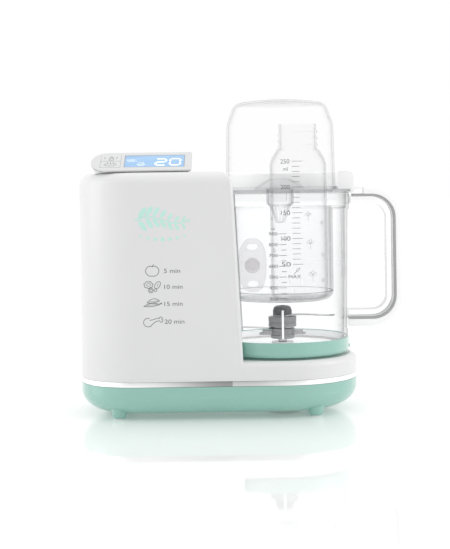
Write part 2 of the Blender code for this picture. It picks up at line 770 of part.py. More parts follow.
def housing_holes():
    """Every opening in the housing, each as its own closed cutter."""
    holes = [bar_bmesh(SOCKET_RADIUS + SLIP, DECK_TOP - CLEAR_OF, DECK_TOP + CLEAR_OF, 24)]
    for x in POST_X:
        for y in (-POST_Y, POST_Y):
            holes.append(bar_bmesh(SCREW_HOLE, 0, TRAY_BOTTOM + BASE_SCREW_LENGTH + BITE, 12, at=(x, y, 0)))
    recess = box_bmesh(
        (TANK_X[0] - FLAP_OVERLAP - SLIP, TANK_X[1] + FLAP_OVERLAP + SLIP),
        (TANK_Y[0] - FLAP_OVERLAP - SLIP, TANK_Y[1] + FLAP_OVERLAP + SLIP),
        (FLAP_Z - FLAP_THICKNESS / 2 - GAP, TOWER_TOP + CLEAR_OF),
    )
    return holes + [recess]


def more_housing_holes():
    """The openings that run into the first ones, as a second set of cutters."""
    inset = TANK_OPENING_INSET
    mouth = box_bmesh(
        (TANK_X[0] + inset, TANK_X[1] - inset), (TANK_Y[0] + inset, TANK_Y[1] - inset),
        (TOWER_TOP - TOP_PAD - BITE, TOWER_TOP + CLEAR_OF),
    )
    trough = box_bmesh(
        (BARREL_X[0] - SLIP, BARREL_X[1] + SLIP),
        (HINGE_Y - BARREL_RADIUS - PIN_TROUGH, HINGE_Y + BARREL_RADIUS + SLIP),
        (FLAP_Z - BARREL_RADIUS - SLIP, TOWER_TOP + CLEAR_OF),
    )
    x, z = COVER_X, COVER_Z
    margin = COVER_MARGIN
    window = box_bmesh(
        (x[0] + margin, x[1] - margin), (HALF_DEPTH - REAR_PAD - BITE, HALF_DEPTH + CLEAR_OF),
        (z[0] + margin, z[1] - margin),
    )
    gland = bar_bmesh(
        GLAND_RADIUS + GAP, HALF_DEPTH - CLEAR_OF, HALF_DEPTH + CLEAR_OF, 16, "Y", (GLAND_X, 0, GLAND_Z)
    )
    high = pocket_radius(STEAM_HEIGHT)
    spout = STEAM_BORE + STEAM_WALL + GAP
    steam = bar_bmesh(spout, -high - CLEAR_OF, -high + CLEAR_OF, 16, "X", (0, 0, STEAM_HEIGHT))
    return [mouth, trough, window, gland, steam]


def last_housing_holes():
    """The rear cover's recess, its screw holes and the hinge pin's seats."""
    x, z = COVER_X, COVER_Z
    depth = COVER_PLATE + GAP
    recess = box_bmesh(
        (x[0] - GAP, x[1] + GAP), (HALF_DEPTH - depth, HALF_DEPTH + CLEAR_OF), (z[0] - GAP, z[1] + GAP)
    )
    pin = bar_bmesh(
        PIN_RADIUS + GAP, BARREL_X[0] - PIN_END - GAP, BARREL_X[1] + PIN_END + GAP, 10, "X",
        (0, HINGE_Y, FLAP_Z)
    )
    return [recess, pin]


def rear_screw_places():
    inset = SCREW_INSET
    return [
        (x, z)
        for x in (COVER_X[0] + inset, COVER_X[1] - inset)
        for z in (COVER_Z[0] + inset, COVER_Z[1] - inset)
    ]


def build_back(axis, housing):
    """Rear cover with its screws, and the cord gland."""
    cut(housing, "second_holes", joined_bmesh(more_housing_holes()))
    cut(housing, "third_holes", joined_bmesh(last_housing_holes()))
    bores = [
        bar_bmesh(SCREW_HOLE, HALF_DEPTH - REAR_SCREW_LENGTH, HALF_DEPTH, 10, "Y", (x, 0, z))
        for x, z in rear_screw_places()
    ]
    cut(housing, "rear_screw_bores", joined_bmesh(bores))
    cover = add(
        "rear_cover",
        box_bmesh(COVER_X, (HALF_DEPTH - COVER_PLATE, HALF_DEPTH), COVER_Z), "white", axis,
    )
    counter = HALF_DEPTH - SCREW_HEAD_HEIGHT - GAP
    holes = []
    for x, z in rear_screw_places():
        profile = [
            (0.0, HALF_DEPTH - CLEAR_OF), (SCREW_HOLE, HALF_DEPTH - CLEAR_OF), (SCREW_HOLE, counter),
            (SCREW_HEAD_RADIUS + GAP, counter), (SCREW_HEAD_RADIUS + GAP, HALF_DEPTH + BITE),
            (0.0, HALF_DEPTH + BITE),
        ]
        holes.append(moved(turned_bmesh(profile, 10, "Y"), (x, 0, z)))
    cut(cover, "cover_holes", joined_bmesh(holes))
    for number, (x, z) in enumerate(rear_screw_places(), 1):
        add(f"rear_screw_{number}", screw_bmesh(REAR_SCREW_LENGTH, "Y"), "steel", axis, (x, HALF_DEPTH, z))
    inner = HALF_DEPTH - HOUSING_WALL - GAP
    flange = GLAND_RADIUS + GLAND_FLANGE
    sleeve = [
        (GLAND_BORE, HALF_DEPTH - GLAND_LENGTH), (flange, HALF_DEPTH - GLAND_LENGTH), (flange, inner),
        (GLAND_RADIUS, inner), (GLAND_RADIUS, HALF_DEPTH), (GLAND_BORE, HALF_DEPTH),
    ]
    add("cord_gland", turned_bmesh(sleeve, 16, "Y"), "dark", axis, (GLAND_X, 0, GLAND_Z))


def screw_bmesh(length, axis):
    """A screw with its head's face just under the origin and its shank behind it."""
    profile = [
        (0.0, -length), (SCREW_RADIUS, -length), (SCREW_RADIUS, -SCREW_HEAD_HEIGHT),
        (SCREW_HEAD_RADIUS, -SCREW_HEAD_HEIGHT), (SCREW_HEAD_RADIUS, -SCREW_SINK), (0.0, -SCREW_SINK),
    ]
    return turned_bmesh(profile, 8, axis)


# ---- inside the base and the tower ----
def build_frame(axis):
    """The sheet frame that carries motor, boiler and tank."""
    left = FRAME_LEFT
    outline = [
        (left, FRAME_BOTTOM), (FRAME_RIGHT, FRAME_BOTTOM), (FRAME_RIGHT, FRAME_TOP),
        (left + SHEET, FRAME_TOP),
        (left + SHEET, FRAME_TOP + FRAME_LAP), (left, FRAME_TOP + FRAME_LAP),
    ]
    frame = add("inner_frame", sideways_bmesh(outline, FRAME_Y), "steel", axis)
    comb = [
        (left, FRAME_BOTTOM + BITE), (left + SHEET, FRAME_BOTTOM + BITE), (left + SHEET, BOILER_SHELF),
        (SHELF_RIGHT, BOILER_SHELF), (SHELF_RIGHT, BOILER_SHELF + SHEET),
        (left + SHEET, BOILER_SHELF + SHEET),
        (left + SHEET, TANK_SHELF), (SHELF_RIGHT, TANK_SHELF), (SHELF_RIGHT, TANK_SHELF + SHEET),
        (left, TANK_SHELF + SHEET),
    ]
    join(frame, "shelves", sideways_bmesh(comb, SHELF_Y))
    bearing = BORE_RADIUS + BUSH_WALL + GAP
    holes = [
        bar_bmesh(bearing, FRAME_BOTTOM - BITE, FRAME_TOP + BITE, 16),
        bar_bmesh(
            MOTOR_SHAFT_RADIUS + SHAFT_HOLE, FRAME_BOTTOM - BITE, FRAME_TOP + BITE, 12, at=(MOTOR_X, 0, 0)
        ),
        bar_bmesh(TUBE_RADIUS + SLIP, TANK_SHELF - BITE, TANK_SHELF + SHEET + BITE, 12, at=(*FEED_XY, 0)),
    ]
    cut(frame, "frame_holes", joined_bmesh(holes))


def pulley_profile(radius, bore):
    """A pulley's section with a belt groove, round its bore."""
    low = PULLEY_BOTTOM
    high = low + PULLEY_WIDTH
    side = (PULLEY_WIDTH - BELT_WIDTH) / 2 - GAP
    return [
        (bore, low), (radius, low), (radius, low + side), (radius - GROOVE_DEPTH, low + side),
        (radius - GROOVE_DEPTH, high - side), (radius, high - side), (radius, high), (bore, high),
    ]


def belt_outline(grow):
    """The belt's loop round both pulleys: two arcs joined by their common tangents."""
    big = DRIVEN_PULLEY_RADIUS - GROOVE_DEPTH + grow
    small = MOTOR_PULLEY_RADIUS - GROOVE_DEPTH + grow
    lean = math.degrees(math.asin((big - small) / -MOTOR_X))
    return arc((0, 0), big, -90 - lean, 90 + lean, 20) + arc((MOTOR_X, 0), small, 90 + lean, 270 - lean, 8)


def build_drive(axis):
    """Motor, belt and pulleys, spindle and the socket that takes the cutter's dog."""
    bore = MOTOR_SHAFT_RADIUS + GAP
    top = FRAME_TOP + MOTOR_BORE
    motor = [
        (0.0, top), (bore + SLIP, top), (bore + SLIP, FRAME_TOP + GAP), (MOTOR_RADIUS, FRAME_TOP + GAP),
        (MOTOR_RADIUS, MOTOR_TOP - MOTOR_CHAMFER), (MOTOR_RADIUS - MOTOR_CHAMFER, MOTOR_TOP),
        (0.0, MOTOR_TOP),
    ]
    add("motor_body", turned_bmesh(motor, 24), "steel", axis, (MOTOR_X, 0, 0))
    spin = empty("motor_axis", (MOTOR_X, 0, 0), axis)
    low = PULLEY_BOTTOM
    add("motor_shaft", bar_bmesh(MOTOR_SHAFT_RADIUS, low, top - SLIP, 12), "steel", spin)
    add("motor_pulley", turned_bmesh(pulley_profile(MOTOR_PULLEY_RADIUS, bore), 20), "dark", spin)
    groove = low + (PULLEY_WIDTH - BELT_WIDTH) / 2
    outer = belt_outline(GAP + BELT_THICKNESS)
    add("drive_belt", band_bmesh(outer, belt_outline(GAP), groove, groove + BELT_WIDTH), "dark", axis)
    add("driven_pulley", turned_bmesh(pulley_profile(DRIVEN_PULLEY_RADIUS, BORE_RADIUS), 24), "dark", axis)
    dog_top = DECK_TOP - DOG_SINK
    dog_low = dog_top - DOG_HEIGHT
    floor = dog_low - SLIP
    socket_low = floor - SOCKET_FLOOR
    add("drive_spindle", bar_bmesh(SHAFT_RADIUS, low, socket_low - GAP, 12), "steel", axis)
    sleeve = BORE_RADIUS + BUSH_WALL
    bearing = [
        (BORE_RADIUS, FRAME_BOTTOM - BEARING_DROP), (sleeve, FRAME_BOTTOM - BEARING_DROP),
        (sleeve, FRAME_TOP + GAP), (sleeve + BEARING_FLANGE, FRAME_TOP + GAP),
        (sleeve + BEARING_FLANGE, FRAME_TOP + BEARING_FLANGE), (BORE_RADIUS, FRAME_TOP + BEARING_FLANGE),
    ]
    add("spindle_bearing", turned_bmesh(bearing, 16), "steel", axis)
    socket = add(
        "drive_socket", bar_bmesh(SOCKET_RADIUS, socket_low, DECK_TOP - SOCKET_SINK, 24), "dark", axis
    )
    hexagon = (DOG_RADIUS + SLIP) / math.cos(math.pi / 6)
    cut(socket, "dog_seat", bar_bmesh(hexagon, floor, DECK_TOP + BITE, 6))
    return dog_low, dog_top


def build_cutter(axis, dog_low, dog_top):
    """Blade base with its bush and gasket, and the shaft with hub, wings and two blades."""
    wall = COLLAR_RADIUS - COLLAR_WALL
    floor_top = COLLAR_FLOOR + COLLAR_FLOOR_WALL
    hole = BUSH_RADIUS + GAP
    collar = [
        (hole, COLLAR_FLOOR), (SEAT_RING[0], COLLAR_FLOOR), (SEAT_RING[0], DECK_TOP + GAP),
        (SEAT_RING[1], DECK_TOP + GAP), (SEAT_RING[1], COLLAR_FLOOR), (wall, COLLAR_FLOOR),
        (wall, COLLAR_BOTTOM), (COLLAR_RADIUS, COLLAR_BOTTOM), (COLLAR_RADIUS, COLLAR_TOP),
        (wall, COLLAR_TOP),
        (wall, floor_top), (hole, floor_top),
    ]
    add("collar", turned_bmesh(collar, JAR_STEPS), "mint", axis)
    bush = [
        (BORE_RADIUS, BUSH_BOTTOM), (BUSH_RADIUS, BUSH_BOTTOM), (BUSH_RADIUS, floor_top + GAP),
        (BUSH_FLANGE, floor_top + GAP), (BUSH_FLANGE, floor_top + BUSH_RISE),
        (BORE_RADIUS, floor_top + BUSH_RISE),
    ]
    add("blade_bush", turned_bmesh(bush, 16), "steel", axis)
    gasket = ring_profile(*GASKET_RING, GASKET_BOTTOM, GASKET_BOTTOM + GASKET_HEIGHT)
    add("jar_gasket", turned_bmesh(gasket, JAR_STEPS), "silicone", axis)
    shaft_top = HUB_TOP - CAP_THICKNESS
    add("blade_shaft", bar_bmesh(SHAFT_RADIUS, SHAFT_BOTTOM, shaft_top - GAP, 12), "steel", axis)
    dog = add("drive_dog", bar_bmesh(DOG_RADIUS / math.cos(math.pi / 6), dog_low, dog_top, 6), "dark", axis)
    cut(dog, "dog_bore", bar_bmesh(BORE_RADIUS, dog_low - BITE, dog_top + BITE, 12))
    half = BLADE_THICKNESS / 2
    sleeve_top = LOWER_BLADE_Z - half - GAP
    sleeve = add(
        "hub_sleeve", bar_bmesh(HUB_SLEEVE_RADIUS, SLEEVE_BOTTOM, sleeve_top, 20), "dark", axis
    )
    wings = rounded((-WING_REACH, WING_REACH), (-WING_WIDTH / 2, WING_WIDTH / 2), [WING_CORNER] * 4, 3)
    join(sleeve, "wings", prism_bmesh(wings, *WING_Z))
    cut(sleeve, "sleeve_bore", bar_bmesh(BORE_RADIUS, SLEEVE_BOTTOM - BITE, sleeve_top + BITE, 12))
    hub = ring_profile(BORE_RADIUS, HUB_RADIUS, LOWER_BLADE_Z + half + GAP, UPPER_BLADE_Z - half - GAP)
    add("blade_hub", turned_bmesh(hub, 20), "dark", axis)
    low = UPPER_BLADE_Z + half + GAP
    cap = [
        (0.0, shaft_top), (BORE_RADIUS, shaft_top), (BORE_RADIUS, low), (HUB_CAP_RADIUS, low),
        (HUB_CAP_RADIUS, HUB_TOP - CAP_CHAMFER), (HUB_CAP_RADIUS - CAP_CHAMFER, HUB_TOP), (0.0, HUB_TOP),
    ]
    add("hub_cap", turned_bmesh(cap, 20), "dark", axis)
    build_blade(axis, "blade_upper", UPPER_BLADE_Z, UPPER_BLADE_REACH, 0)
    build_blade(axis, "blade_lower", LOWER_BLADE_Z, LOWER_BLADE_REACH, 180)


def build_blade(axis, name, z, reach, heading):
    """One curved blade on a ring round the shaft, pointing along a heading in degrees."""
    low, high = z - BLADE_THICKNESS / 2, z + BLADE_THICKNESS / 2
    blade = add(name, bar_bmesh(HUB_CAP_RADIUS, low, high, 20), "steel", axis)
    count = 8
    edge = []
    for step in range(count + 1):
        share = step / count
        bend = BLADE_BEND * share * share
        edge.append((share * reach, bend + BLADE_WIDTH / 2 * (1 - BLADE_EDGE_TAPER * share * share)))
    back = [(x, y - BLADE_WIDTH * (1 - BLADE_TAPER * (x / reach) ** 2)) for x, y in edge]
    arm = prism_bmesh(back + edge[::-1], low, high)
    bmesh.ops.rotate(
        arm, verts=arm.verts, cent=(0, 0, 0), matrix=Matrix.Rotation(math.radians(heading), 3, "Z")
    )
    join(blade, f"{name}_arm", arm)
    cut(blade, f"{name}_bore", bar_bmesh(BORE_RADIUS, low - BITE, high + BITE, 12))


# ---- jar and handle ----
def jar_radius(z):
    """Outer radius of the jar's wall at a height."""
    return blend(JAR_LOW_RADIUS, JAR_TOP_RADIUS, (z - JAR_FLANGE_TOP) / (RIM_BOTTOM - JAR_FLANGE_TOP))


def build_jar(axis):
    """The jar's open tube, its clear handle frame and the handle's cover."""
    profile = [
        (JAR_FOOT_RADIUS - JAR_WALL, JAR_BOTTOM), (JAR_FOOT_RADIUS, JAR_BOTTOM),
        (JAR_FOOT_RADIUS, JAR_FLANGE_BOTTOM), (JAR_FLANGE_RADIUS, JAR_FLANGE_BOTTOM),
        (JAR_FLANGE_RADIUS, JAR_FLANGE_TOP), (JAR_LOW_RADIUS, JAR_FLANGE_TOP),
        (JAR_TOP_RADIUS, RIM_BOTTOM - RIM_FLARE),
        (RIM_RADIUS, RIM_BOTTOM), (RIM_RADIUS, RIM_TOP), (RIM_RADIUS - RIM_WALL, RIM_TOP),
        (RIM_RADIUS - RIM_WALL, RIM_BOTTOM), (JAR_TOP_RADIUS - JAR_WALL, RIM_BOTTOM),
        (JAR_LOW_RADIUS - JAR_WALL, JAR_FLANGE_TOP),
    ]
    add("jar", turned_bmesh(profile, JAR_STEPS), "clear", axis)
    outer = handle_path(0.0)
    inner = handle_path(COVER_THICKNESS)
    start = TAB_END + SLIP
    low = jar_radius(HANDLE_BOTTOM) + HANDLE_STANDOFF
    cover = [(start, HANDLE_TOP)] + outer + [(low, HANDLE_BOTTOM), (low, HANDLE_BOTTOM + COVER_THICKNESS)]
    cover += inner[::-1] + [(start, HANDLE_TOP - COVER_THICKNESS)]
    y = (-COVER_WIDTH / 2, COVER_WIDTH / 2)
    add("handle_cover", sideways_bmesh(cover, y), "white", axis)
    outer = handle_path(COVER_THICKNESS + GAP)
    depth = COVER_THICKNESS + FRAME_THICKNESS
    inner = handle_path(depth)
    start = RIM_RADIUS + SLIP
    frame = [(start, HANDLE_TOP - COVER_THICKNESS - GAP)] + outer
    frame += [(low, HANDLE_BOTTOM + COVER_THICKNESS + GAP), (low, HANDLE_BOTTOM + depth)]
    frame += inner[::-1] + [(start, HANDLE_TOP - depth)]
    y = (-FRAME_WIDTH / 2, FRAME_WIDTH / 2)
    add("handle_frame", sideways_bmesh(frame, y), "clear", axis)


def handle_path(inset):
    """The handle's two outer corners in x and z, inset from its outside."""
    radius = HANDLE_CORNER - inset
    x = HANDLE_REACH - HANDLE_CORNER
    high = HANDLE_TOP - HANDLE_CORNER
    low = HANDLE_BOTTOM + HANDLE_CORNER
    return arc((x, high), radius, 90, 0, HANDLE_STEPS) + arc((x, low), radius, 0, -90, HANDLE_STEPS)


# ---- basket with bottle and soother ----
def build_basket(axis):
    """The steam basket, hung in the jar's rim."""
    wall = BASKET_RADIUS - BASKET_WALL
    corner = BASKET_CORNER
    turns = [math.radians(90 * step / 3) for step in range(4)]
    outside = [
        (BASKET_RADIUS - corner * (1 - math.sin(t)), BASKET_FLOOR + corner * (1 - math.cos(t))) for t in turns
    ]
    small = corner - BASKET_WALL
    inside = [(wall - small * (1 - math.sin(t)), BASKET_INSIDE + small * (1 - math.cos(t))) for t in turns]
    profile = [(0.0, BASKET_FLOOR)] + outside
    profile += [(BASKET_RADIUS, FLANGE_BOTTOM), (FLANGE_RADIUS, FLANGE_BOTTOM)]
    profile += [(FLANGE_RADIUS, FLANGE_TOP), (wall, FLANGE_TOP)] + inside[::-1] + [(0.0, BASKET_INSIDE)]
    basket = add("basket", turned_bmesh(profile, JAR_STEPS), "clear", axis)
    low = BASKET_INSIDE + small + SLOT_BOTTOM
    width, height = SLOT_SIZE
    slots = []
    for number in range(SLOT_COUNT):
        slot = box_bmesh((wall - BITE, BASKET_RADIUS + BITE), (-width / 2, width / 2), (low, low + height))
        turn = Matrix.Rotation(math.tau * (number + 0.5) / SLOT_COUNT, 3, "Z")
        bmesh.ops.rotate(slot, verts=slot.verts, cent=(0, 0, 0), matrix=turn)
        slots.append(slot)
    for radius, count in FLOOR_HOLE_RINGS:
        for number in range(count):
            turn = math.tau * number / count
            at = (radius * math.cos(turn), radius * math.sin(turn), 0)
            slots.append(bar_bmesh(FLOOR_HOLE_RADIUS, BASKET_FLOOR - BITE, BASKET_INSIDE + BITE, 6, at=at))
    cut(basket, "basket_slots", joined_bmesh(slots))


def build_bottle(axis):
    """A feeding bottle standing in the basket, with its threaded neck and no cap."""
    foot = BASKET_INSIDE + GAP
    wall = BOTTLE_WALL
    neck = BOTTLE_NECK_RADIUS
    step = BOTTLE_FOOT_ROUND
    inwards, up = SHOULDER_ROUND
    outside = [
        (0.0, foot), (BOTTLE_RADIUS - step, foot), (BOTTLE_RADIUS, foot + step),
        (BOTTLE_RADIUS, BOTTLE_SHOULDER),
        (BOTTLE_RADIUS - inwards, BOTTLE_SHOULDER + up), (neck + 1.0, BOTTLE_NECK - wall),
        (neck, BOTTLE_NECK),
    ]
    for turn in range(2):
        z = BOTTLE_NECK + THREAD_START + THREAD_PITCH * turn
        thread = [(0.0, -1.5), (THREAD_DEPTH, -0.5), (THREAD_DEPTH, 0.5), (0.0, 1.5)]
        outside += [(neck + proud, z + rise) for proud, rise in thread]
    outside += [(neck, BOTTLE_TOP)]
    inside = [
        (neck - wall, BOTTLE_TOP), (neck - wall, BOTTLE_NECK - 1.0),
        (BOTTLE_RADIUS - inwards - wall, BOTTLE_SHOULDER + up - 1.0), (BOTTLE_RADIUS - wall, BOTTLE_SHOULDER),
        (BOTTLE_RADIUS - wall, foot + step), (BOTTLE_RADIUS - step, foot + wall), (0.0, foot + wall),
    ]
    add("bottle", turned_bmesh(outside + inside, 20), "clear", axis, (*BOTTLE_XY, 0))


def build_soother(axis):
    """A soother standing beside the bottle: shield with its button, and the teat behind."""
    x, z = SOOTHER_XZ
    half_width, half_height = SOOTHER_SIZE[0] / 2, SOOTHER_SIZE[1] / 2
    outline = []
    for step in range(24):
        turn = math.tau * step / 24
        waist = 1 - SHIELD_WAIST * math.cos(turn) ** 4
        outline.append((half_width * waist * math.cos(turn), half_height * math.sin(turn)))
    y = (-SOOTHER_THICKNESS / 2, SOOTHER_THICKNESS / 2)
    at = (x, SOOTHER_Y, z)
    shield = add("soother_shield", sideways_bmesh(outline, y), "white", axis, at)
    join(shield, "soother_button", bar_bmesh(SOOTHER_BUTTON, y[0] - BUTTON_PROUD, 0, 16, "Y"), at)
    back = SOOTHER_THICKNESS / 2 + GAP
    tip = back + TEAT_LENGTH
    profile = [
        (0.0, back), (TEAT_RADIUS + 2, back), (TEAT_RADIUS - 2, back + 3), (TEAT_RADIUS - 1.5, tip - 8),
        (TEAT_RADIUS, tip - 5), (TEAT_RADIUS - 1, tip - 1.5), (TEAT_RADIUS - 4, tip), (0.0, tip),
    ]
    add("soother_teat", turned_bmesh(profile, 14, "Y"), "silicone", axis, at)


# ---- lid and dome ----
def build_lid(axis):
    """Lid ring and gasket, the white steam duct on it, nozzle, splash hood and dome."""
    lip = DOME_RADIUS + SLIP
    profile = [
        (LID_OPENING_RADIUS, PLATE_BOTTOM), (LID_PLATE_RADIUS, PLATE_BOTTOM), (LID_PLATE_RADIUS, PLATE_TOP),
        (lip + LIP_WALL, PLATE_TOP), (lip + LIP_WALL, PLATE_TOP + LIP_HEIGHT), (lip, PLATE_TOP + LIP_HEIGHT),
        (lip, PLATE_TOP), (LID_OPENING_RADIUS, PLATE_TOP),
    ]
    ring = add("lid_ring", turned_bmesh(profile, JAR_STEPS), "clear", axis)
    reach = LID_OPENING_RADIUS + BITE
    side = math.degrees(math.asin(SHELF_FRONT / reach))
    shelf = prism_bmesh(arc((0, 0), reach, side, 180 - side, 16), PLATE_BOTTOM + GAP, PLATE_TOP - GAP)
    join(ring, "rear_shelf", shelf)
    port = CHANNEL_HALF_WIDTH - NOZZLE_WALL
    holes = [
        bar_bmesh(NOZZLE_RADIUS + GAP, PLATE_BOTTOM - BITE, PLATE_TOP + CLEAR_OF, 20, at=(0, NOZZLE_Y, 0)),
        box_bmesh(
            (-port, port), (DUCT_INNER_RADIUS + PORT_FRONT, CHANNEL_END - NOZZLE_WALL),
            (PLATE_BOTTOM - BITE, PLATE_TOP + BITE),
        ),
    ]
    cut(ring, "lid_holes", joined_bmesh(holes))
    inner = RIM_RADIUS - RIM_WALL + GAP
    gasket = ring_profile(inner, RIM_RADIUS - GAP, RIM_TOP + GAP, RIM_TOP + GAP + LID_GASKET_HEIGHT)
    add("lid_gasket", turned_bmesh(gasket, JAR_STEPS), "silicone", axis)
    build_duct(axis)
    build_nozzle(axis)


def build_duct(axis):
    """A channel on the lid from the tower's steam outlet round the back, with the tab over the handle."""
    edge = [
        (DUCT_RADIUS - side, TOWER_TOP - DUCT_EDGE_RADIUS + rise)
        for side, rise in quarter(DUCT_EDGE_RADIUS, 0.0, 3)
    ]
    foot = PLATE_TOP + GAP
    inner = LID_PLATE_RADIUS + SLIP
    profile = [(DUCT_RADIUS, DUCT_BOTTOM)] + edge
    profile += [(DUCT_INNER_RADIUS, TOWER_TOP), (DUCT_INNER_RADIUS, foot)]
    profile += [(inner, foot), (inner, DUCT_BOTTOM)]
    start, end = DUCT_ANGLES
    duct = add("steam_duct", sector_bmesh(profile, start, end, DUCT_STEPS), "white", axis)
    wall = DUCT_WALL
    ceiling = TOWER_TOP - wall - BITE
    hollow = [
        (DUCT_RADIUS - wall, foot - BITE), (DUCT_RADIUS - wall, TOWER_TOP - DUCT_EDGE_RADIUS),
        (DUCT_RADIUS - wall - 3.0, ceiling), (DUCT_INNER_RADIUS + wall, ceiling),
        (DUCT_INNER_RADIUS + wall, foot - BITE),
    ]
    margin = math.degrees(wall / DUCT_RADIUS)
    cut(duct, "duct_hollow", sector_bmesh(hollow, start + margin, end - margin, DUCT_STEPS))
    tab = box_bmesh((inner - TAB_LAP, TAB_END), (-TAB_WIDTH / 2, TAB_WIDTH / 2), (foot + GAP, HANDLE_TOP))
    join(duct, "lid_tab", tab)
    spout = STEAM_BORE + STEAM_WALL
    inlet = bar_bmesh(spout, -DUCT_RADIUS - BITE, -DUCT_RADIUS + INLET_DEPTH, 14, "X", (0, 0, STEAM_HEIGHT))
    cut(duct, "duct_inlet", inlet)


def build_nozzle(axis):
    """The cup and cone that send steam down into the basket, the channel that feeds them, and the hood."""
    top = FLANGE_SEAT
    bottom = PLATE_TOP + GAP
    wall = NOZZLE_WALL
    cup = NOZZLE_CUP_BOTTOM
    profile = [
        (NOZZLE_TIP_RADIUS, NOZZLE_TIP), (NOZZLE_RADIUS - 3, cup), (NOZZLE_RADIUS, cup + 2),
        (NOZZLE_RADIUS, bottom), (NOZZLE_FLANGE, bottom), (NOZZLE_FLANGE, top), (NOZZLE_RADIUS - wall, top),
        (NOZZLE_RADIUS - wall, cup + 3), (NOZZLE_RADIUS - 3 - wall, cup + 1),
        (NOZZLE_TIP_RADIUS - wall, NOZZLE_TIP),
    ]
    at = (0, NOZZLE_Y, 0)
    nozzle = add("steam_nozzle", turned_bmesh(profile, 20), "clear", axis, at)
    reach = CHANNEL_END - NOZZLE_Y
    half = CHANNEL_HALF_WIDTH
    start = NOZZLE_RADIUS - wall
    channel = box_bmesh((-half, half), (start - BITE, reach), CHANNEL_Z)
    join(nozzle, "channel", channel, at)
    inside = box_bmesh(
        (wall - half, half - wall), (start - CLEAR_OF, reach - wall),
        (CHANNEL_Z[0] + wall, CHANNEL_Z[1] - wall)
    )
    cut(nozzle, "channel_inside", inside, at)
    low = DUCT_INNER_RADIUS + PORT_FRONT - NOZZLE_Y
    mouth = box_bmesh(
        (wall - half, half - wall), (low, reach - wall), (CHANNEL_Z[0] + 2 * wall, CHANNEL_Z[1] + BITE)
    )
    cut(nozzle, "channel_mouth", mouth, at)
    hood = add("steam_hood", hood_bmesh(0.0), "clear", axis)
    cut(hood, "hood_inside", hood_bmesh(HOOD_WALL))


def hood_bmesh(inset):
    """A bell with a rounded oblong plan, less high and less wide by a wall."""
    bottom = FLANGE_SEAT + GAP
    high = HOOD_TOP - inset - bottom
    y_middle = (HOOD_Y[0] + HOOD_Y[1]) / 2
    depth = (HOOD_Y[1] - HOOD_Y[0]) / 2 - inset
    width = HOOD_HALF_WIDTH - inset
    rings = []
    if inset:
        rings.append([(x, y + y_middle, bottom - BITE) for x, y in oblong(width, depth)])
    for step in range(6):
        share = step / 5
        narrow = [1 - loss * share * share for loss in HOOD_NARROW]
        outline = oblong(width * narrow[0], depth * narrow[1])
        rise = high * math.sin(math.pi / 2 * share)
        rings.append([(x, y + y_middle, bottom + rise) for x, y in outline])
    return loft_bmesh(rings)


def oblong(half_x, half_y):
    """A rectangle with round ends of half_y, 2 half_x long."""
    flat = max(half_x - half_y, 0.0)
    radius = min(half_x, half_y)
    return arc((flat, 0), radius, -90, 90, 8) + arc((-flat - 0.01, 0), radius, 90, 270, 8)


def build_dome(axis):
    """The clear dome over bottles that stand higher than the jar."""
    def skin(inset):
        radius = DOME_SHOULDER_RADIUS - inset
        corner = DOME_TOP - DOME_SHOULDER
        points = [(DOME_RADIUS - inset, DOME_BOTTOM), (radius, DOME_SHOULDER)]
        for step in range(1, 6):
            turn = math.radians(90 * step / 6)
            inwards = corner * CROWN_WIDTH * (1 - math.cos(turn))
            up = (corner - CROWN_RISE - inset) * math.sin(turn) ** CROWN_SQUARENESS
            points.append((radius - inwards, DOME_SHOULDER + up))
        return points + [(0.0, DOME_TOP - inset)]

    profile = skin(0.0) + skin(DOME_WALL)[::-1]
    add("dome", turned_bmesh(profile, JAR_STEPS), "clear", axis)


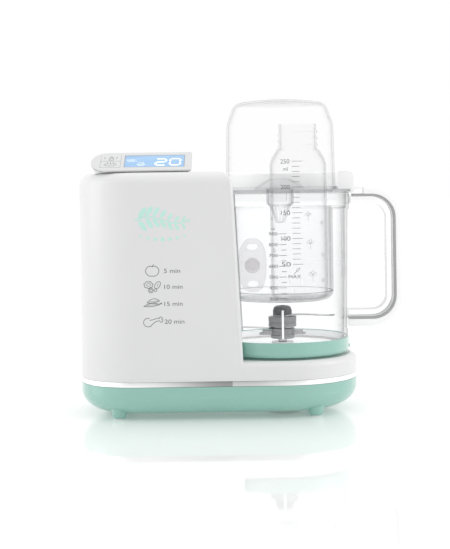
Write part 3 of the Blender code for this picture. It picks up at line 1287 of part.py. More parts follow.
# ---- water and steam ----
def build_steam(axis):
    """Tank with its flap and pin, boiler, feed and steam tubes, and the outlet in the pocket's wall."""
    tank = add("water_tank", box_bmesh(TANK_X, TANK_Y, (TANK_BOTTOM, TANK_TOP)), "clear", axis)
    wall = TANK_WALL
    inside = box_bmesh(
        (TANK_X[0] + wall, TANK_X[1] - wall), (TANK_Y[0] + wall, TANK_Y[1] - wall),
        (TANK_BOTTOM + wall, TANK_TOP + CLEAR_OF),
    )
    cut(tank, "tank_inside", inside)
    hinge = empty("flap_axis", (0, HINGE_Y, FLAP_Z), axis)
    half = FLAP_THICKNESS / 2
    plate = box_bmesh(
        (TANK_X[0] - FLAP_OVERLAP, TANK_X[1] + FLAP_OVERLAP),
        (TANK_Y[0] - FLAP_OVERLAP - HINGE_Y, TANK_Y[1] + FLAP_OVERLAP - HINGE_Y), (-half, half),
    )
    flap = add("tank_lid", plate, "white", hinge)
    join(flap, "flap_web", box_bmesh(BARREL_X, (-BARREL_RADIUS - PIN_TROUGH, 0.0), (GAP - half, half - GAP)))
    join(flap, "flap_barrel", bar_bmesh(BARREL_RADIUS, *BARREL_X, 14, "X"))
    cut(flap, "flap_bore", bar_bmesh(PIN_RADIUS + GAP, BARREL_X[0] - BITE, BARREL_X[1] + BITE, 10, "X"))
    pin = bar_bmesh(PIN_RADIUS, BARREL_X[0] - PIN_END, BARREL_X[1] + PIN_END, 10, "X")
    add("hinge_pin", pin, "steel", axis, (0, HINGE_Y, FLAP_Z))
    at = (*BOILER_XY, BOILER_BOTTOM)
    boiler = [
        (0.0, 0.0), (BOILER_RADIUS, 0.0), (BOILER_RADIUS, BOILER_HEIGHT - BOILER_CHAMFER),
        (BOILER_RADIUS - BOILER_CHAMFER, BOILER_HEIGHT), (0.0, BOILER_HEIGHT),
    ]
    add("boiler", turned_bmesh(boiler, 24), "steel", axis, at)
    x, y = FEED_XY
    feed = [(x, y, BOILER_TOP + GAP), (x, y, TANK_BOTTOM - GAP)]
    tube("feed_tube", feed, TUBE_RADIUS, "silicone", axis)
    outlet = -pocket_radius(STEAM_HEIGHT) - SLIP
    start = outlet - OUTLET_LENGTH
    front = TANK_Y[0] - TUBE_RADIUS - TUBE_CLEAR
    steam = [
        (BOILER_XY[0], BOILER_XY[1] - BOILER_PORT, BOILER_TOP + GAP),
        (BOILER_XY[0] + 2, front - 5, (BOILER_TOP + STEAM_HEIGHT) / 2),
        (start - 12, front, STEAM_HEIGHT - 7),
        (start - GAP, 0, STEAM_HEIGHT),
    ]
    tube("steam_tube", steam, TUBE_RADIUS, "silicone", axis)
    profile = ring_profile(STEAM_BORE, STEAM_BORE + STEAM_WALL, start, outlet)
    add("steam_outlet", turned_bmesh(profile, 16, "X"), "dark", axis, (0, 0, STEAM_HEIGHT))


# ---- display ----
def display_outline(inset=0.0):
    """The display seen square on: round at its left end, nearly square at its right."""
    end = DISPLAY_DEPTH / 2 - inset - 0.01
    corner = DISPLAY_RIGHT_CORNER
    u = (inset, DISPLAY_LENGTH - inset)
    v = (inset, DISPLAY_DEPTH - inset)
    return rounded(u, v, (corner, corner, end, end), NECK_STEPS)


def build_display(axis):
    """Display housing on its neck, screen, window, two keys and the board."""
    seat = empty("display_seat", (DISPLAY_LEFT, DISPLAY_FRONT_Y, DISPLAY_FRONT_Z), axis, DISPLAY_TILT)
    slab = prism_bmesh(display_outline(), -DISPLAY_THICKNESS, 0.0)
    housing = add("display_housing", slab, "panel", seat)
    tilt = math.radians(DISPLAY_TILT)
    foot = TOWER_TOP + GAP
    rings = [[], []]
    for u, v in display_outline(NECK_INSET):
        y = v * math.cos(tilt) + NECK_LAP * math.sin(tilt)
        z = v * math.sin(tilt) - NECK_LAP * math.cos(tilt)
        rings[0].append((u, y, foot - DISPLAY_FRONT_Z))
        rings[1].append((u, y, z))
    level = empty("display_level", (DISPLAY_LEFT, DISPLAY_FRONT_Y, DISPLAY_FRONT_Z), axis)
    neck = hidden(add("display_neck", loft_bmesh(rings), "panel", level))
    union = housing.modifiers.new("display_neck", "BOOLEAN")
    union.operation = "UNION"
    union.object = neck
    window = rounded(WINDOW_U, WINDOW_V, (2, 2, 2, 2), 3)
    hole = rounded(
        (WINDOW_U[0] - GAP, WINDOW_U[1] + GAP), (WINDOW_V[0] - GAP, WINDOW_V[1] + GAP), (2, 2, 2, 2), 3
    )
    window_low = -WINDOW_SINK - WINDOW_THICKNESS
    pockets = [prism_bmesh(hole, window_low - GAP, BITE)]
    keys = []
    for v, corners in zip(KEY_V, ((1, 1, 1, KEY_CORNER), (1, 1, KEY_CORNER, 1))):
        keys.append(rounded(KEY_U, v, corners, 3))
        wide = (KEY_U[0] - GAP, KEY_U[1] + GAP)
        pockets.append(prism_bmesh(rounded(wide, (v[0] - GAP, v[1] + GAP), corners, 3), -KEY_POCKET, BITE))
    cut(housing, "display_pockets", joined_bmesh(pockets))
    margin = MODULE_MARGIN
    u = (WINDOW_U[0] + margin, WINDOW_U[1] - margin)
    v = (WINDOW_V[0] + margin, WINDOW_V[1] - margin)
    module_low = window_low - GAP - MODULE_THICKNESS
    room = box_bmesh((u[0] - GAP, u[1] + GAP), (v[0] - GAP, v[1] + GAP), (module_low - GAP, BITE))
    cut(housing, "module_room", room)
    add("lcd_window", prism_bmesh(window, window_low, -WINDOW_SINK), "screen", seat)
    add("lcd_module", box_bmesh(u, v, (module_low, window_low - GAP)), "dark", seat)
    for name, outline in zip(("key_lower", "key_upper"), keys):
        add(name, prism_bmesh(outline, KEY_PROUD - KEY_THICKNESS, KEY_PROUD), "panel", seat)
    back = DISPLAY_DEPTH * math.cos(tilt)
    board_y = [back - inwards for inwards in BOARD_BACK]
    low = foot - DISPLAY_FRONT_Z
    room = box_bmesh(
        (BOARD_X[0] - GAP, BOARD_X[1] + GAP), (board_y[0] - GAP, board_y[1] + GAP),
        (low - BITE, low + BOARD_THICKNESS + BOARD_ROOM),
    )
    room_tool = hidden(add("board_room", room, "dark", level))
    taken = housing.modifiers.new("board_room", "BOOLEAN")
    taken.operation = "DIFFERENCE"
    taken.object = room_tool
    board = box_bmesh(BOARD_X, board_y, (low + BOARD_RISE, low + BOARD_RISE + BOARD_THICKNESS))
    add("control_board", board, "board", level)


def build():
    clear_scene()
    axis = empty("jar_axis", (AXIS_X, 0, 0))
    build_base(axis)
    housing = build_housing(axis)
    build_back(axis, housing)
    build_frame(axis)
    dog_low, dog_top = build_drive(axis)
    build_cutter(axis, dog_low, dog_top)
    build_jar(axis)
    build_basket(axis)
    build_bottle(axis)
    build_soother(axis)
    build_lid(axis)
    build_dome(axis)
    build_steam(axis)
    build_display(axis)


build()
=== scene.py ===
"""Looks of a countertop baby food maker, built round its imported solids.

Shapes are laid out in millimetres from the jar's axis: x towards the handle, y towards the back,
z up from the table. piece() carries them to the row frame in metres. Each sub-assembly is a class
with its sizes as fields, a build method and the bodies that its pieces move with.
"""

from __future__ import annotations

import json
import logging
import math
from dataclasses import dataclass, field
from enum import Enum
from typing import Callable, Iterable, Sequence, Union

import bmesh
import bpy
import numpy as np
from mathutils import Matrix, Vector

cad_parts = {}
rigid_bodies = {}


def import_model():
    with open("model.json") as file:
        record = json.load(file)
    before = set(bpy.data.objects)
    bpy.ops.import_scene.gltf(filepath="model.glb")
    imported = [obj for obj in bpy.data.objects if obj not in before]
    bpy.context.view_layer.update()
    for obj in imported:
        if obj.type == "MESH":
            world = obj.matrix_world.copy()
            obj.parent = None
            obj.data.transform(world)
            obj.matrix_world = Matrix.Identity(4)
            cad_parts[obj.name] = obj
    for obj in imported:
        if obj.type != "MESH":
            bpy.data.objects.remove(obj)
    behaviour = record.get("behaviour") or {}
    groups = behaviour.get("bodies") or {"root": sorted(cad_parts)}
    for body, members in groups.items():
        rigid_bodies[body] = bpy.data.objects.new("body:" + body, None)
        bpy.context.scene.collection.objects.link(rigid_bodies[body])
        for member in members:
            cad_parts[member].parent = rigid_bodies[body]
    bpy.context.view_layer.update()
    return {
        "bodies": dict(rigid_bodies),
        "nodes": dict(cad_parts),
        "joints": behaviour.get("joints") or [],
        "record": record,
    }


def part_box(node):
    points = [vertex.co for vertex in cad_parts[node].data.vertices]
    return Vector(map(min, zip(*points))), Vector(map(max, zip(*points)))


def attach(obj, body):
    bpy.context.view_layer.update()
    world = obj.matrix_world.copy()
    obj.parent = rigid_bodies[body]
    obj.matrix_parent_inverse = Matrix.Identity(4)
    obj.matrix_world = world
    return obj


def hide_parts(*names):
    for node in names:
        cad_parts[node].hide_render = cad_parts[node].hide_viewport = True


LOG = logging.getLogger("baby_food_maker")
MM = 0.001
Colour = tuple[float, float, float]


# ---- places in the frame ----
class Layout:
    """Turns places between the row frame in metres and millimetres from the jar's axis."""

    def __init__(self) -> None:
        """Finds the jar's axis in the middle of the blade base."""
        low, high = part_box("collar")
        self.origin = np.array([(low.x + high.x) / 2, (low.y + high.y) / 2, 0.0])

    def box(self, node: str) -> tuple[np.ndarray, np.ndarray]:
        """The lowest and highest corner of a CAD node, in millimetres from the jar's axis."""
        low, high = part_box(node)
        return (np.array(low) - self.origin) / MM, (np.array(high) - self.origin) / MM

    def metres(self, points: np.ndarray) -> np.ndarray:
        """Points in millimetres from the axis, as metres in the row frame."""
        return points * MM + self.origin


# ---- shader graphs ----
class Value:
    """A number's socket, with the arithmetic of a number."""

    def __init__(self, graph: Graph, socket: bpy.types.NodeSocket) -> None:
        """Wraps a socket of the graph."""
        self.graph = graph
        self.socket = socket

    def math(self, operation: str, *others: Union[Value, float], swap: bool = False) -> Value:
        """One Math node on this value and the others.

        Args:
            operation: the node's operation.
            others: the second and third operands.
            swap: whether this value is the second operand.

        Returns:
            The node's result.
        """
        operands: list[Union[Value, float]] = [self, *others]
        if swap:
            operands.reverse()
        node = self.graph.node("ShaderNodeMath", {"operation": operation}, dict(enumerate(operands)))
        return Value(self.graph, node.outputs[0])

    def __add__(self, other: Union[Value, float]) -> Value:
        """The sum."""
        return self.math("ADD", other)

    def __sub__(self, other: Union[Value, float]) -> Value:
        """The difference."""
        return self.math("SUBTRACT", other)

    def __rsub__(self, other: float) -> Value:
        """The difference from a number."""
        return self.math("SUBTRACT", other, swap=True)

    def __mul__(self, other: Union[Value, float]) -> Value:
        """The product."""
        return self.math("MULTIPLY", other)

    def __truediv__(self, other: Union[Value, float]) -> Value:
        """The quotient."""
        return self.math("DIVIDE", other)

    def __pow__(self, other: float) -> Value:
        """The power."""
        return self.math("POWER", other)

    __radd__ = __add__
    __rmul__ = __mul__

    def clamped(self) -> Value:
        """The value held between 0 and 1."""
        return self.math("MINIMUM", 1.0).math("MAXIMUM", 0.0)

    def ramp(self, low: float, high: float) -> Value:
        """0 at low and 1 at high, with a soft start and end."""
        settings = {"interpolation_type": "SMOOTHSTEP"}
        node = self.graph.node("ShaderNodeMapRange", settings, {0: self, 1: low, 2: high})
        return Value(self.graph, node.outputs[0])


class Graph:
    """A node tree being written."""

    def __init__(self, owner: Union[bpy.types.Material, bpy.types.World]) -> None:
        """Empties the owner's node tree."""
        owner.use_nodes = True
        self.tree = owner.node_tree
        self.tree.nodes.clear()

    def node(self, kind: str, settings: dict | None = None, values: dict | None = None) -> bpy.types.Node:
        """Adds a node, with its settings first and then its values or links.

        Args:
            kind: the node's type.
            settings: attributes to set.
            values: input names or numbers with a number, colour, socket, node or Value for each.

        Returns:
            The node.
        """
        made = self.tree.nodes.new(kind)
        for name, setting in (settings or {}).items():
            setattr(made, name, setting)
        for name, value in (values or {}).items():
            if isinstance(value, Value):
                value = value.socket
            if isinstance(value, bpy.types.Node):
                value = value.outputs[0]
            if isinstance(value, bpy.types.NodeSocket):
                self.tree.links.new(value, made.inputs[name])
            else:
                made.inputs[name].default_value = value
        return made

    def spot(self) -> bpy.types.NodeSocket:
        """The piece's Object coordinates, in metres."""
        return self.node("ShaderNodeTexCoord").outputs["Object"]

    def noise(self, scale: float, detail: float = 2.0, stretch: Sequence[float] = (1, 1, 1)) -> Value:
        """Noise from 0 to 1, with scale cells to the metre and its own stretch along each axis."""
        mapping = self.node("ShaderNodeMapping", None, {"Vector": self.spot(), "Scale": tuple(stretch)})
        node = self.node("ShaderNodeTexNoise", None, {"Vector": mapping, "Scale": scale, "Detail": detail})
        return Value(self, node.outputs[0])

    def mix(self, share: Value, low: Colour, high: Colour) -> bpy.types.NodeSocket:
        """A colour between two, by a share."""
        values = {0: share, 6: (*low, 1.0), 7: (*high, 1.0)}
        return self.node("ShaderNodeMix", {"data_type": "RGBA"}, values).outputs[2]

    def bump(self, height: Value, strength: float, distance: float) -> bpy.types.Node:
        """Small relief from a height."""
        return self.node(
            "ShaderNodeBump", None, {"Height": height, "Strength": strength, "Distance": distance},
        )

    def facing(self) -> Value:
        """0 where a face looks at the viewer and 1 at its turning edge."""
        return Value(self, self.node("ShaderNodeLayerWeight").outputs["Facing"])

    def finish(self, shader: bpy.types.Node) -> None:
        """Joins a shader to the material's output."""
        self.node("ShaderNodeOutputMaterial", None, {"Surface": shader})


@dataclass(frozen=True)
class Moulded:
    """Moulded plastic or rubber: a fine grain, faint flow marks and a soft coat."""

    colour: Colour
    roughness: float = 0.32
    coat: float = 0.15
    grain: float = 1800.0
    relief: float = 0.04
    mottle: float = 0.02
    glow: float = 0.0

    def write(self, graph: Graph) -> None:
        """Writes the finish's nodes; the emission strength is painted light that makes the part brighter
        than the lamps light it.
        """
        low = tuple(part * (1 - self.mottle) for part in self.colour)
        high = tuple(min(part * (1 + self.mottle), 1.0) for part in self.colour)
        flow = graph.noise(14.0, 3.0)
        fine = graph.noise(self.grain)
        values = {
            "Base Color": graph.mix(flow, low, high),
            "Roughness": self.roughness * (0.88 + fine * 0.24),
            "Coat Weight": self.coat,
            "Coat Roughness": 0.12,
            # painted light: emission in the part's own colour, though the part is no lamp
            "Emission Color": (*self.colour, 1.0),
            "Emission Strength": self.glow,
            "Normal": graph.bump(fine, self.relief, 0.0002),
        }
        graph.finish(graph.node("ShaderNodeBsdfPrincipled", None, values))


@dataclass(frozen=True)
class Metal:
    """Metal with fine brushing along one axis."""

    colour: Colour
    roughness: float = 0.2
    stretch: tuple[float, float, float] = (1.0, 1.0, 30.0)
    relief: float = 0.05

    def write(self, graph: Graph) -> None:
        """Writes the finish's nodes."""
        lines = graph.noise(220.0, 4.0, self.stretch)
        dark = tuple(part * 0.9 for part in self.colour)
        values = {
            "Base Color": graph.mix(lines, dark, self.colour),
            "Metallic": 1.0,
            "Roughness": self.roughness * (0.75 + lines * 0.5),
            "Normal": graph.bump(lines, self.relief, 0.0001),
        }
        graph.finish(graph.node("ShaderNodeBsdfPrincipled", None, values))


@dataclass(frozen=True)
class Plated:
    """Bright plating whose colour carries a painted reflection: a dim room along its straight sides and a
    bright one at its ends.
    """

    bright: float = 1.0
    dim: float = 0.36
    middling: float = 0.66
    rise: tuple[float, float] = (-0.100, -0.012)
    step: tuple[float, float] = (-0.0103, -0.0097)
    fall: tuple[float, float] = (0.005, 0.055)

    def write(self, graph: Graph) -> None:
        """Writes the finish's nodes; the painted reflection's places are along the machine's length."""
        axes = graph.node("ShaderNodeSeparateXYZ", None, {0: graph.spot()})
        x = Value(graph, axes.outputs["X"])
        # painted reflection: the plating's colour steps from bright to dim to middling and back to bright
        # along x
        after = x.ramp(*self.step)
        first = x.ramp(*self.rise) * (self.bright - self.dim) * (1.0 - after)
        second = after * (self.bright - self.middling) * (1.0 - x.ramp(*self.fall))
        tone = self.bright - first - second
        fine = graph.noise(900.0)
        values = {
            "Base Color": graph.mix(tone, (0.0, 0.0, 0.0), (1.0, 1.0, 1.0)),
            "Metallic": 1.0,
            "Roughness": 0.07 + fine * 0.04,
            "Normal": graph.bump(fine, 0.01, 0.0001),
        }
        graph.finish(graph.node("ShaderNodeBsdfPrincipled", None, values))


@dataclass(frozen=True)
class Clear:
    """Clear plastic as a thin skin: nearly unseen from the front, grey at its turning edges as painted
    shade in place of refraction, glossy.
    """

    tint: Colour = (0.985, 0.987, 0.988)
    # painted shade: the colour shown at turning edges in place of refracted darkness
    edge: Colour = (0.10, 0.105, 0.11)
    body: float = 0.0
    rim: float = 1.0
    power: float = 5.0
    shine: float = 0.3

    def write(self, graph: Graph) -> None:
        """Writes the finish's nodes."""
        waves = graph.noise(60.0, 2.0)
        normal = graph.bump(waves, 0.04, 0.0004)
        seen = graph.node("ShaderNodeBsdfTransparent", None, {"Color": (*self.tint, 1.0)})
        values = {"Base Color": graph.mix(waves, self.edge, tuple(part * 1.15 for part in self.edge)),
                  "Roughness": 0.12, "Normal": normal}
        solid = graph.node("ShaderNodeBsdfPrincipled", None, values)
        # painted shade: the edge colour takes over towards the turning edges
        facing = graph.facing()
        share = (self.body + facing**self.power * self.rim).clamped()
        skin = graph.node("ShaderNodeMixShader", None, {0: share, 1: seen, 2: solid})
        gloss = graph.node(
            "ShaderNodeBsdfGlossy", None,
            {"Color": (1.0, 1.0, 1.0, 1.0), "Roughness": 0.05, "Normal": normal},
        )
        graph.finish(
            graph.node("ShaderNodeMixShader", None, {0: facing**5.0 * self.shine, 1: skin, 2: gloss})
        )


@dataclass(frozen=True)
class Ink:
    """Printed ink with faint unevenness."""

    colour: Colour
    roughness: float = 0.5

    def write(self, graph: Graph) -> None:
        """Writes the finish's nodes."""
        speckle = graph.noise(2600.0)
        light = tuple(min(part * 1.12 + 0.01, 1.0) for part in self.colour)
        values = {"Base Color": graph.mix(speckle, self.colour, light), "Roughness": self.roughness}
        graph.finish(graph.node("ShaderNodeBsdfPrincipled", None, values))


@dataclass(frozen=True)
class Glow:
    """A lit display layer, a little uneven as a backlight is."""

    colour: Colour
    strength: float = 0.8
    spread: float = 0.08

    def write(self, graph: Graph) -> None:
        """Writes the finish's nodes."""
        cloud = graph.noise(35.0, 1.0)
        low = tuple(part * (1 - self.spread) for part in self.colour)
        colour = graph.mix(cloud, low, self.colour)
        values = {
            "Base Color": colour, "Roughness": 0.3, "Emission Color": colour,
            "Emission Strength": self.strength,
        }
        graph.finish(graph.node("ShaderNodeBsdfPrincipled", None, values))


class Finish(Enum):
    """Every finish on the machine, under the record's slot names where it has one."""

    WHITE = Moulded((0.83, 0.83, 0.83), 0.34)
    # painted light: emission brightens the white grip, steam duct and lid tab
    DUCT = Moulded((0.92, 0.92, 0.92), 0.30, 0.2, glow=0.17)
    # painted light: strong emission makes the shadowed liner floor and the hub's highlight strip read pale
    LINER = Moulded((0.90, 0.905, 0.905), 0.35, 0.1, glow=0.38)
    # painted light: emission brightens the mint parts, most of all their dimmer sides
    MINT = Moulded((0.262, 0.500, 0.425), 0.27, 1.0, 1800.0, 0.04, 0.03, 0.13)
    PANEL = Moulded((0.755, 0.76, 0.758), 0.42, 0.05, 2400.0, 0.06)
    DARK = Moulded((0.115, 0.118, 0.12), 0.45, 0.05, 1500.0, 0.1, 0.08)
    HUB = Moulded((0.15, 0.15, 0.155), 0.42, 0.1, 1500.0, 0.08, 0.06)
    HUB_LIGHT = Moulded((0.34, 0.34, 0.35), 0.4, 0.1, 1500.0, 0.08, 0.05)
    HUB_PALE = Moulded((0.55, 0.55, 0.555), 0.35, 0.2, 1500.0, 0.06, 0.05)
    RUBBER = Moulded((0.04, 0.04, 0.042), 0.7, 0.0, 1200.0, 0.25, 0.1)
    SILICONE = Moulded((0.80, 0.79, 0.775), 0.5, 0.05, 900.0, 0.05)
    BOARD = Moulded((0.03, 0.20, 0.09), 0.5, 0.2, 600.0, 0.1, 0.15)
    # painted shade: grey for the handle's groove and the display panel's underside edge
    GROOVE = Moulded((0.45, 0.45, 0.455), 0.45, 0.05)
    # painted reflection in the plating's colour
    CHROME = Plated()
    STEEL = Metal((0.66, 0.66, 0.67), 0.24)
    CAST = Metal((0.60, 0.60, 0.61), 0.45, (1.0, 1.0, 1.0), 0.3)
    # CLEAR, THICK, FRAME, DOME and BOTTLE carry grey painted shade at their turning edges
    CLEAR = Clear()
    THICK = Clear((0.985, 0.986, 0.987), (0.30, 0.31, 0.32), 0.0, 1.0, 3.0)
    FRAME = Clear((0.985, 0.985, 0.985), (0.42, 0.43, 0.44), 0.02, 1.0, 2.0)
    DOME = Clear((0.998, 0.998, 0.998), (0.12, 0.125, 0.13), 0.0, 0.9, 9.0, 0.2)
    BOTTLE = Clear((0.988, 0.988, 0.988), (0.20, 0.21, 0.22), 0.0, 0.9, 6.0)
    SHIELD = Clear((0.985, 0.98, 0.985), (0.74, 0.715, 0.725), 0.14, 0.6, 2.2)
    TEAT = Clear((0.99, 0.985, 0.98), (0.88, 0.86, 0.84), 0.10, 0.5, 3.0)
    INK_GREY = Ink((0.15, 0.16, 0.17))
    INK_SCALE = Ink((0.05, 0.055, 0.065))
    INK_PALE = Ink((0.42, 0.43, 0.43))
    INK_MINT = Ink((0.54, 0.83, 0.74))
    LCD = Glow((0.36, 0.58, 0.86), 0.11)
    SEGMENT = Glow((1.0, 1.0, 1.0), 0.3, 0.02)

    def material(self) -> bpy.types.Material:
        """This finish's material, written once."""
        name = f"finish_{self.name.lower()}"
        found = bpy.data.materials.get(name)
        if found is None:
            found = bpy.data.materials.new(name)
            self.value.write(Graph(found))
        return found


SLOT_FINISH = {
    "white": Finish.WHITE, "mint": Finish.MINT, "chrome": Finish.CHROME, "clear": Finish.CLEAR,
    "bottle_clear": Finish.BOTTLE, "panel_grey": Finish.PANEL, "screen": Finish.LCD, "steel": Finish.STEEL,
    "cast_aluminium": Finish.CAST, "dark_plastic": Finish.DARK, "rubber_dark": Finish.RUBBER,
    "silicone": Finish.SILICONE, "board_green": Finish.BOARD,
}


# ---- shapes ----
def grid_faces(across: int, along: int, wrap_u: bool = False, wrap_v: bool = False) -> np.ndarray:
    """The quads between the points of a grid.

    Args:
        across: points in its first direction.
        along: points in its second direction.
        wrap_u: whether it closes on itself in the first.
        wrap_v: whether it closes on itself in the second.

    Returns:
        Four point numbers for each quad.
    """
    index = np.arange(across * along).reshape(across, along)
    if wrap_u:
        index = np.concatenate([index, index[:1]], 0)
    if wrap_v:
        index = np.concatenate([index, index[:, :1]], 1)
    return np.stack([index[:-1, :-1], index[1:, :-1], index[1:, 1:], index[:-1, 1:]], -1).reshape(-1, 4)


@dataclass
class Shell:
    """The points and faces of one piece while it is put together."""

    points: list[np.ndarray] = field(default_factory=list)
    faces: list[list[int]] = field(default_factory=list)
    count: int = 0

    def add(self, points: np.ndarray, *faces: np.ndarray) -> Shell:
        """Adds points, and faces that number them from 0."""
        for block in faces:
            self.faces.extend((np.asarray(block) + self.count).tolist())
        flat = np.asarray(points, float).reshape(-1, 3)
        self.points.append(flat)
        self.count += len(flat)
        return self

    def grid(self, points: np.ndarray, wrap_u: bool = False, wrap_v: bool = False) -> Shell:
        """Adds a skin through a grid of points."""
        return self.add(points, grid_faces(points.shape[0], points.shape[1], wrap_u, wrap_v))

    def loft(self, rings: np.ndarray, closed: bool = False) -> Shell:
        """Adds a skin through rings of points, capped at its ends unless it closes on itself."""
        steps, around = rings.shape[:2]
        faces = [grid_faces(steps, around, closed, True)]
        if not closed:
            first = np.arange(around)
            faces += [first[None, ::-1], first[None, :] + (steps - 1) * around]
        return self.add(rings, *faces)

    def walls(self, outer: np.ndarray, inner: np.ndarray, keep: np.ndarray, wrap: bool) -> Shell:
        """Adds a closed wall between two grids, with openings.

        Args:
            outer: one face of the wall, as a grid of points.
            inner: the other face.
            keep: for each cell of the grid, whether it is solid.
            wrap: whether the grid closes on itself in its first direction.

        Returns:
            The shell itself.
        """
        size = outer.shape[0] * outer.shape[1]
        index = np.arange(size).reshape(outer.shape[:2])
        if wrap:
            index = np.concatenate([index, index[:1]], 0)
        a, b, c, d = index[:-1, :-1], index[1:, :-1], index[1:, 1:], index[:-1, 1:]
        round_it = np.pad(keep, 1)
        if wrap:
            round_it[0, 1:-1] = keep[-1]
            round_it[-1, 1:-1] = keep[0]
        edges = [
            np.stack([a, d], -1)[keep & ~round_it[:-2, 1:-1]],
            np.stack([c, b], -1)[keep & ~round_it[2:, 1:-1]],
            np.stack([b, a], -1)[keep & ~round_it[1:-1, :-2]],
            np.stack([d, c], -1)[keep & ~round_it[1:-1, 2:]],
        ]
        rims = np.concatenate(edges)
        skin = np.stack([a, b, c, d], -1)[keep]
        sides = np.concatenate([rims, rims[:, ::-1] + size], 1)
        points = np.concatenate([outer.reshape(-1, 3), inner.reshape(-1, 3)])
        return self.add(points, skin, skin[:, ::-1] + size, sides)


def arc(centre: Sequence[float], radius: float, start: float, end: float, steps: int) -> np.ndarray:
    """Points on an arc from start to end degrees, both ends included."""
    turn = np.radians(np.linspace(start, end, steps + 1))
    return np.stack([centre[0] + radius * np.cos(turn), centre[1] + radius * np.sin(turn)], -1)


def leaning(along: np.ndarray, across: np.ndarray, degrees: float) -> np.ndarray:
    """Flat points given along and across a line that leans by an angle."""
    c, s = math.cos(math.radians(degrees)), math.sin(math.radians(degrees))
    return np.stack([along * c - across * s, along * s + across * c], -1)


def filleted(corners: Iterable[Sequence[float]], closed: bool = False, steps: int = 5) -> np.ndarray:
    """A polyline with rounded corners.

    Args:
        corners: (a, b) or (a, b, radius) for each corner.
        closed: whether the line closes on itself.
        steps: facets in each rounding.

    Returns:
        Points, with a quadratic curve in place of each rounded corner.
    """
    known = [tuple(corner) + (0.0,) * (3 - len(corner)) for corner in corners]
    places = np.array([corner[:2] for corner in known])
    share = np.linspace(0.0, 1.0, steps + 1)[:, None]
    line = []
    for number, (_, _, radius) in enumerate(known):
        here = places[number]
        if radius <= 0 or (not closed and number in (0, len(known) - 1)):
            line.append(here[None])
            continue
        ways = [places[number - 1] - here, places[(number + 1) % len(known)] - here]
        lengths = [np.linalg.norm(way) for way in ways]
        units = [way / length for way, length in zip(ways, lengths)]
        angle = math.acos(float(np.clip(units[0] @ units[1], -0.999999, 0.999999)))
        back = min(radius / math.tan(angle / 2), 0.49 * lengths[0], 0.49 * lengths[1])
        start, end = here + units[0] * back, here + units[1] * back
        line.append((1 - share) ** 2 * start + 2 * share * (1 - share) * here + share**2 * end)
    return np.concatenate(line)


def turned(profile: np.ndarray, steps: int = 96, at: Sequence[float] = (0.0, 0.0)) -> np.ndarray:
    """A profile of (radius, z) turned round an upright axis: a grid of steps by the profile's points."""
    turn = np.linspace(0.0, math.tau, steps, endpoint=False)[:, None]
    radius, z = profile[:, 0][None], profile[:, 1][None]
    return np.stack([at[0] + radius * np.cos(turn), at[1] + radius * np.sin(turn), z + 0 * turn], -1)


def offset(line: np.ndarray, distance: float) -> np.ndarray:
    """A flat line moved sideways.

    Args:
        line: its points.
        distance: how far, to the right of the way that it runs.

    Returns:
        Each point moved square to the line there.
    """
    tangent = np.gradient(line, axis=0)
    tangent /= np.linalg.norm(tangent, axis=1, keepdims=True)
    return line + np.stack([tangent[:, 1], -tangent[:, 0]], -1) * distance


def lying(grid: np.ndarray, at: Sequence[float]) -> np.ndarray:
    """A turned grid laid over, so that its axis runs along y through a place."""
    return np.stack([at[0] + grid[..., 0], at[1] + grid[..., 2], at[2] + grid[..., 1]], -1)


def at_height(outline: np.ndarray, z: float) -> np.ndarray:
    """A flat outline as a ring at a height."""
    return np.concatenate([outline, np.full((len(outline), 1), z)], 1)


def rounded(u: Sequence[float], v: Sequence[float], radius: float, steps: int = 6) -> np.ndarray:
    """A rectangle with rounded corners."""
    lows = [(u[1] - radius, v[0] + radius), (u[1] - radius, v[1] - radius)]
    highs = [(u[0] + radius, v[1] - radius), (u[0] + radius, v[0] + radius)]
    corners = [
        arc(centre, radius, start, start + 90, steps)
        for centre, start in zip(lows + highs, (-90, 0, 90, 180))
    ]
    return np.concatenate(corners)


def carried(path: np.ndarray, section: np.ndarray, side: Sequence[float] = (0.0, 1.0, 0.0)) -> np.ndarray:
    """A section carried along a path in a plane.

    Args:
        path: points of the path.
        section: (outwards, sideways) points, outwards being square to the path and to side.
        side: the direction square to the path's plane.

    Returns:
        One ring of the section for each point of the path.
    """
    tangent = np.gradient(path, axis=0)
    tangent /= np.linalg.norm(tangent, axis=1, keepdims=True)
    across = np.asarray(side, float)
    outward = np.cross(across, tangent)
    return path[:, None] + outward[:, None] * section[None, :, :1] + across * section[None, :, 1:]


def box_rings(low: Sequence[float], high: Sequence[float], radius: float) -> np.ndarray:
    """A block with rounded upright edges."""
    outline = rounded((low[0], high[0]), (low[1], high[1]), radius, 3)
    return np.stack([at_height(outline, low[2]), at_height(outline, high[2])])


def placed(rings: np.ndarray, turn: np.ndarray, at: Sequence[float]) -> np.ndarray:
    """Points turned by a matrix and then moved."""
    return rings @ turn.T + np.asarray(at, float)


def about_z(degrees: float) -> np.ndarray:
    """The matrix of a turn about z."""
    c, s = math.cos(math.radians(degrees)), math.sin(math.radians(degrees))
    return np.array([[c, -s, 0.0], [s, c, 0.0], [0.0, 0.0, 1.0]])


def about_x(degrees: float) -> np.ndarray:
    """The matrix of a turn about x."""
    c, s = math.cos(math.radians(degrees)), math.sin(math.radians(degrees))
    return np.array([[1.0, 0.0, 0.0], [0.0, c, -s], [0.0, s, c]])


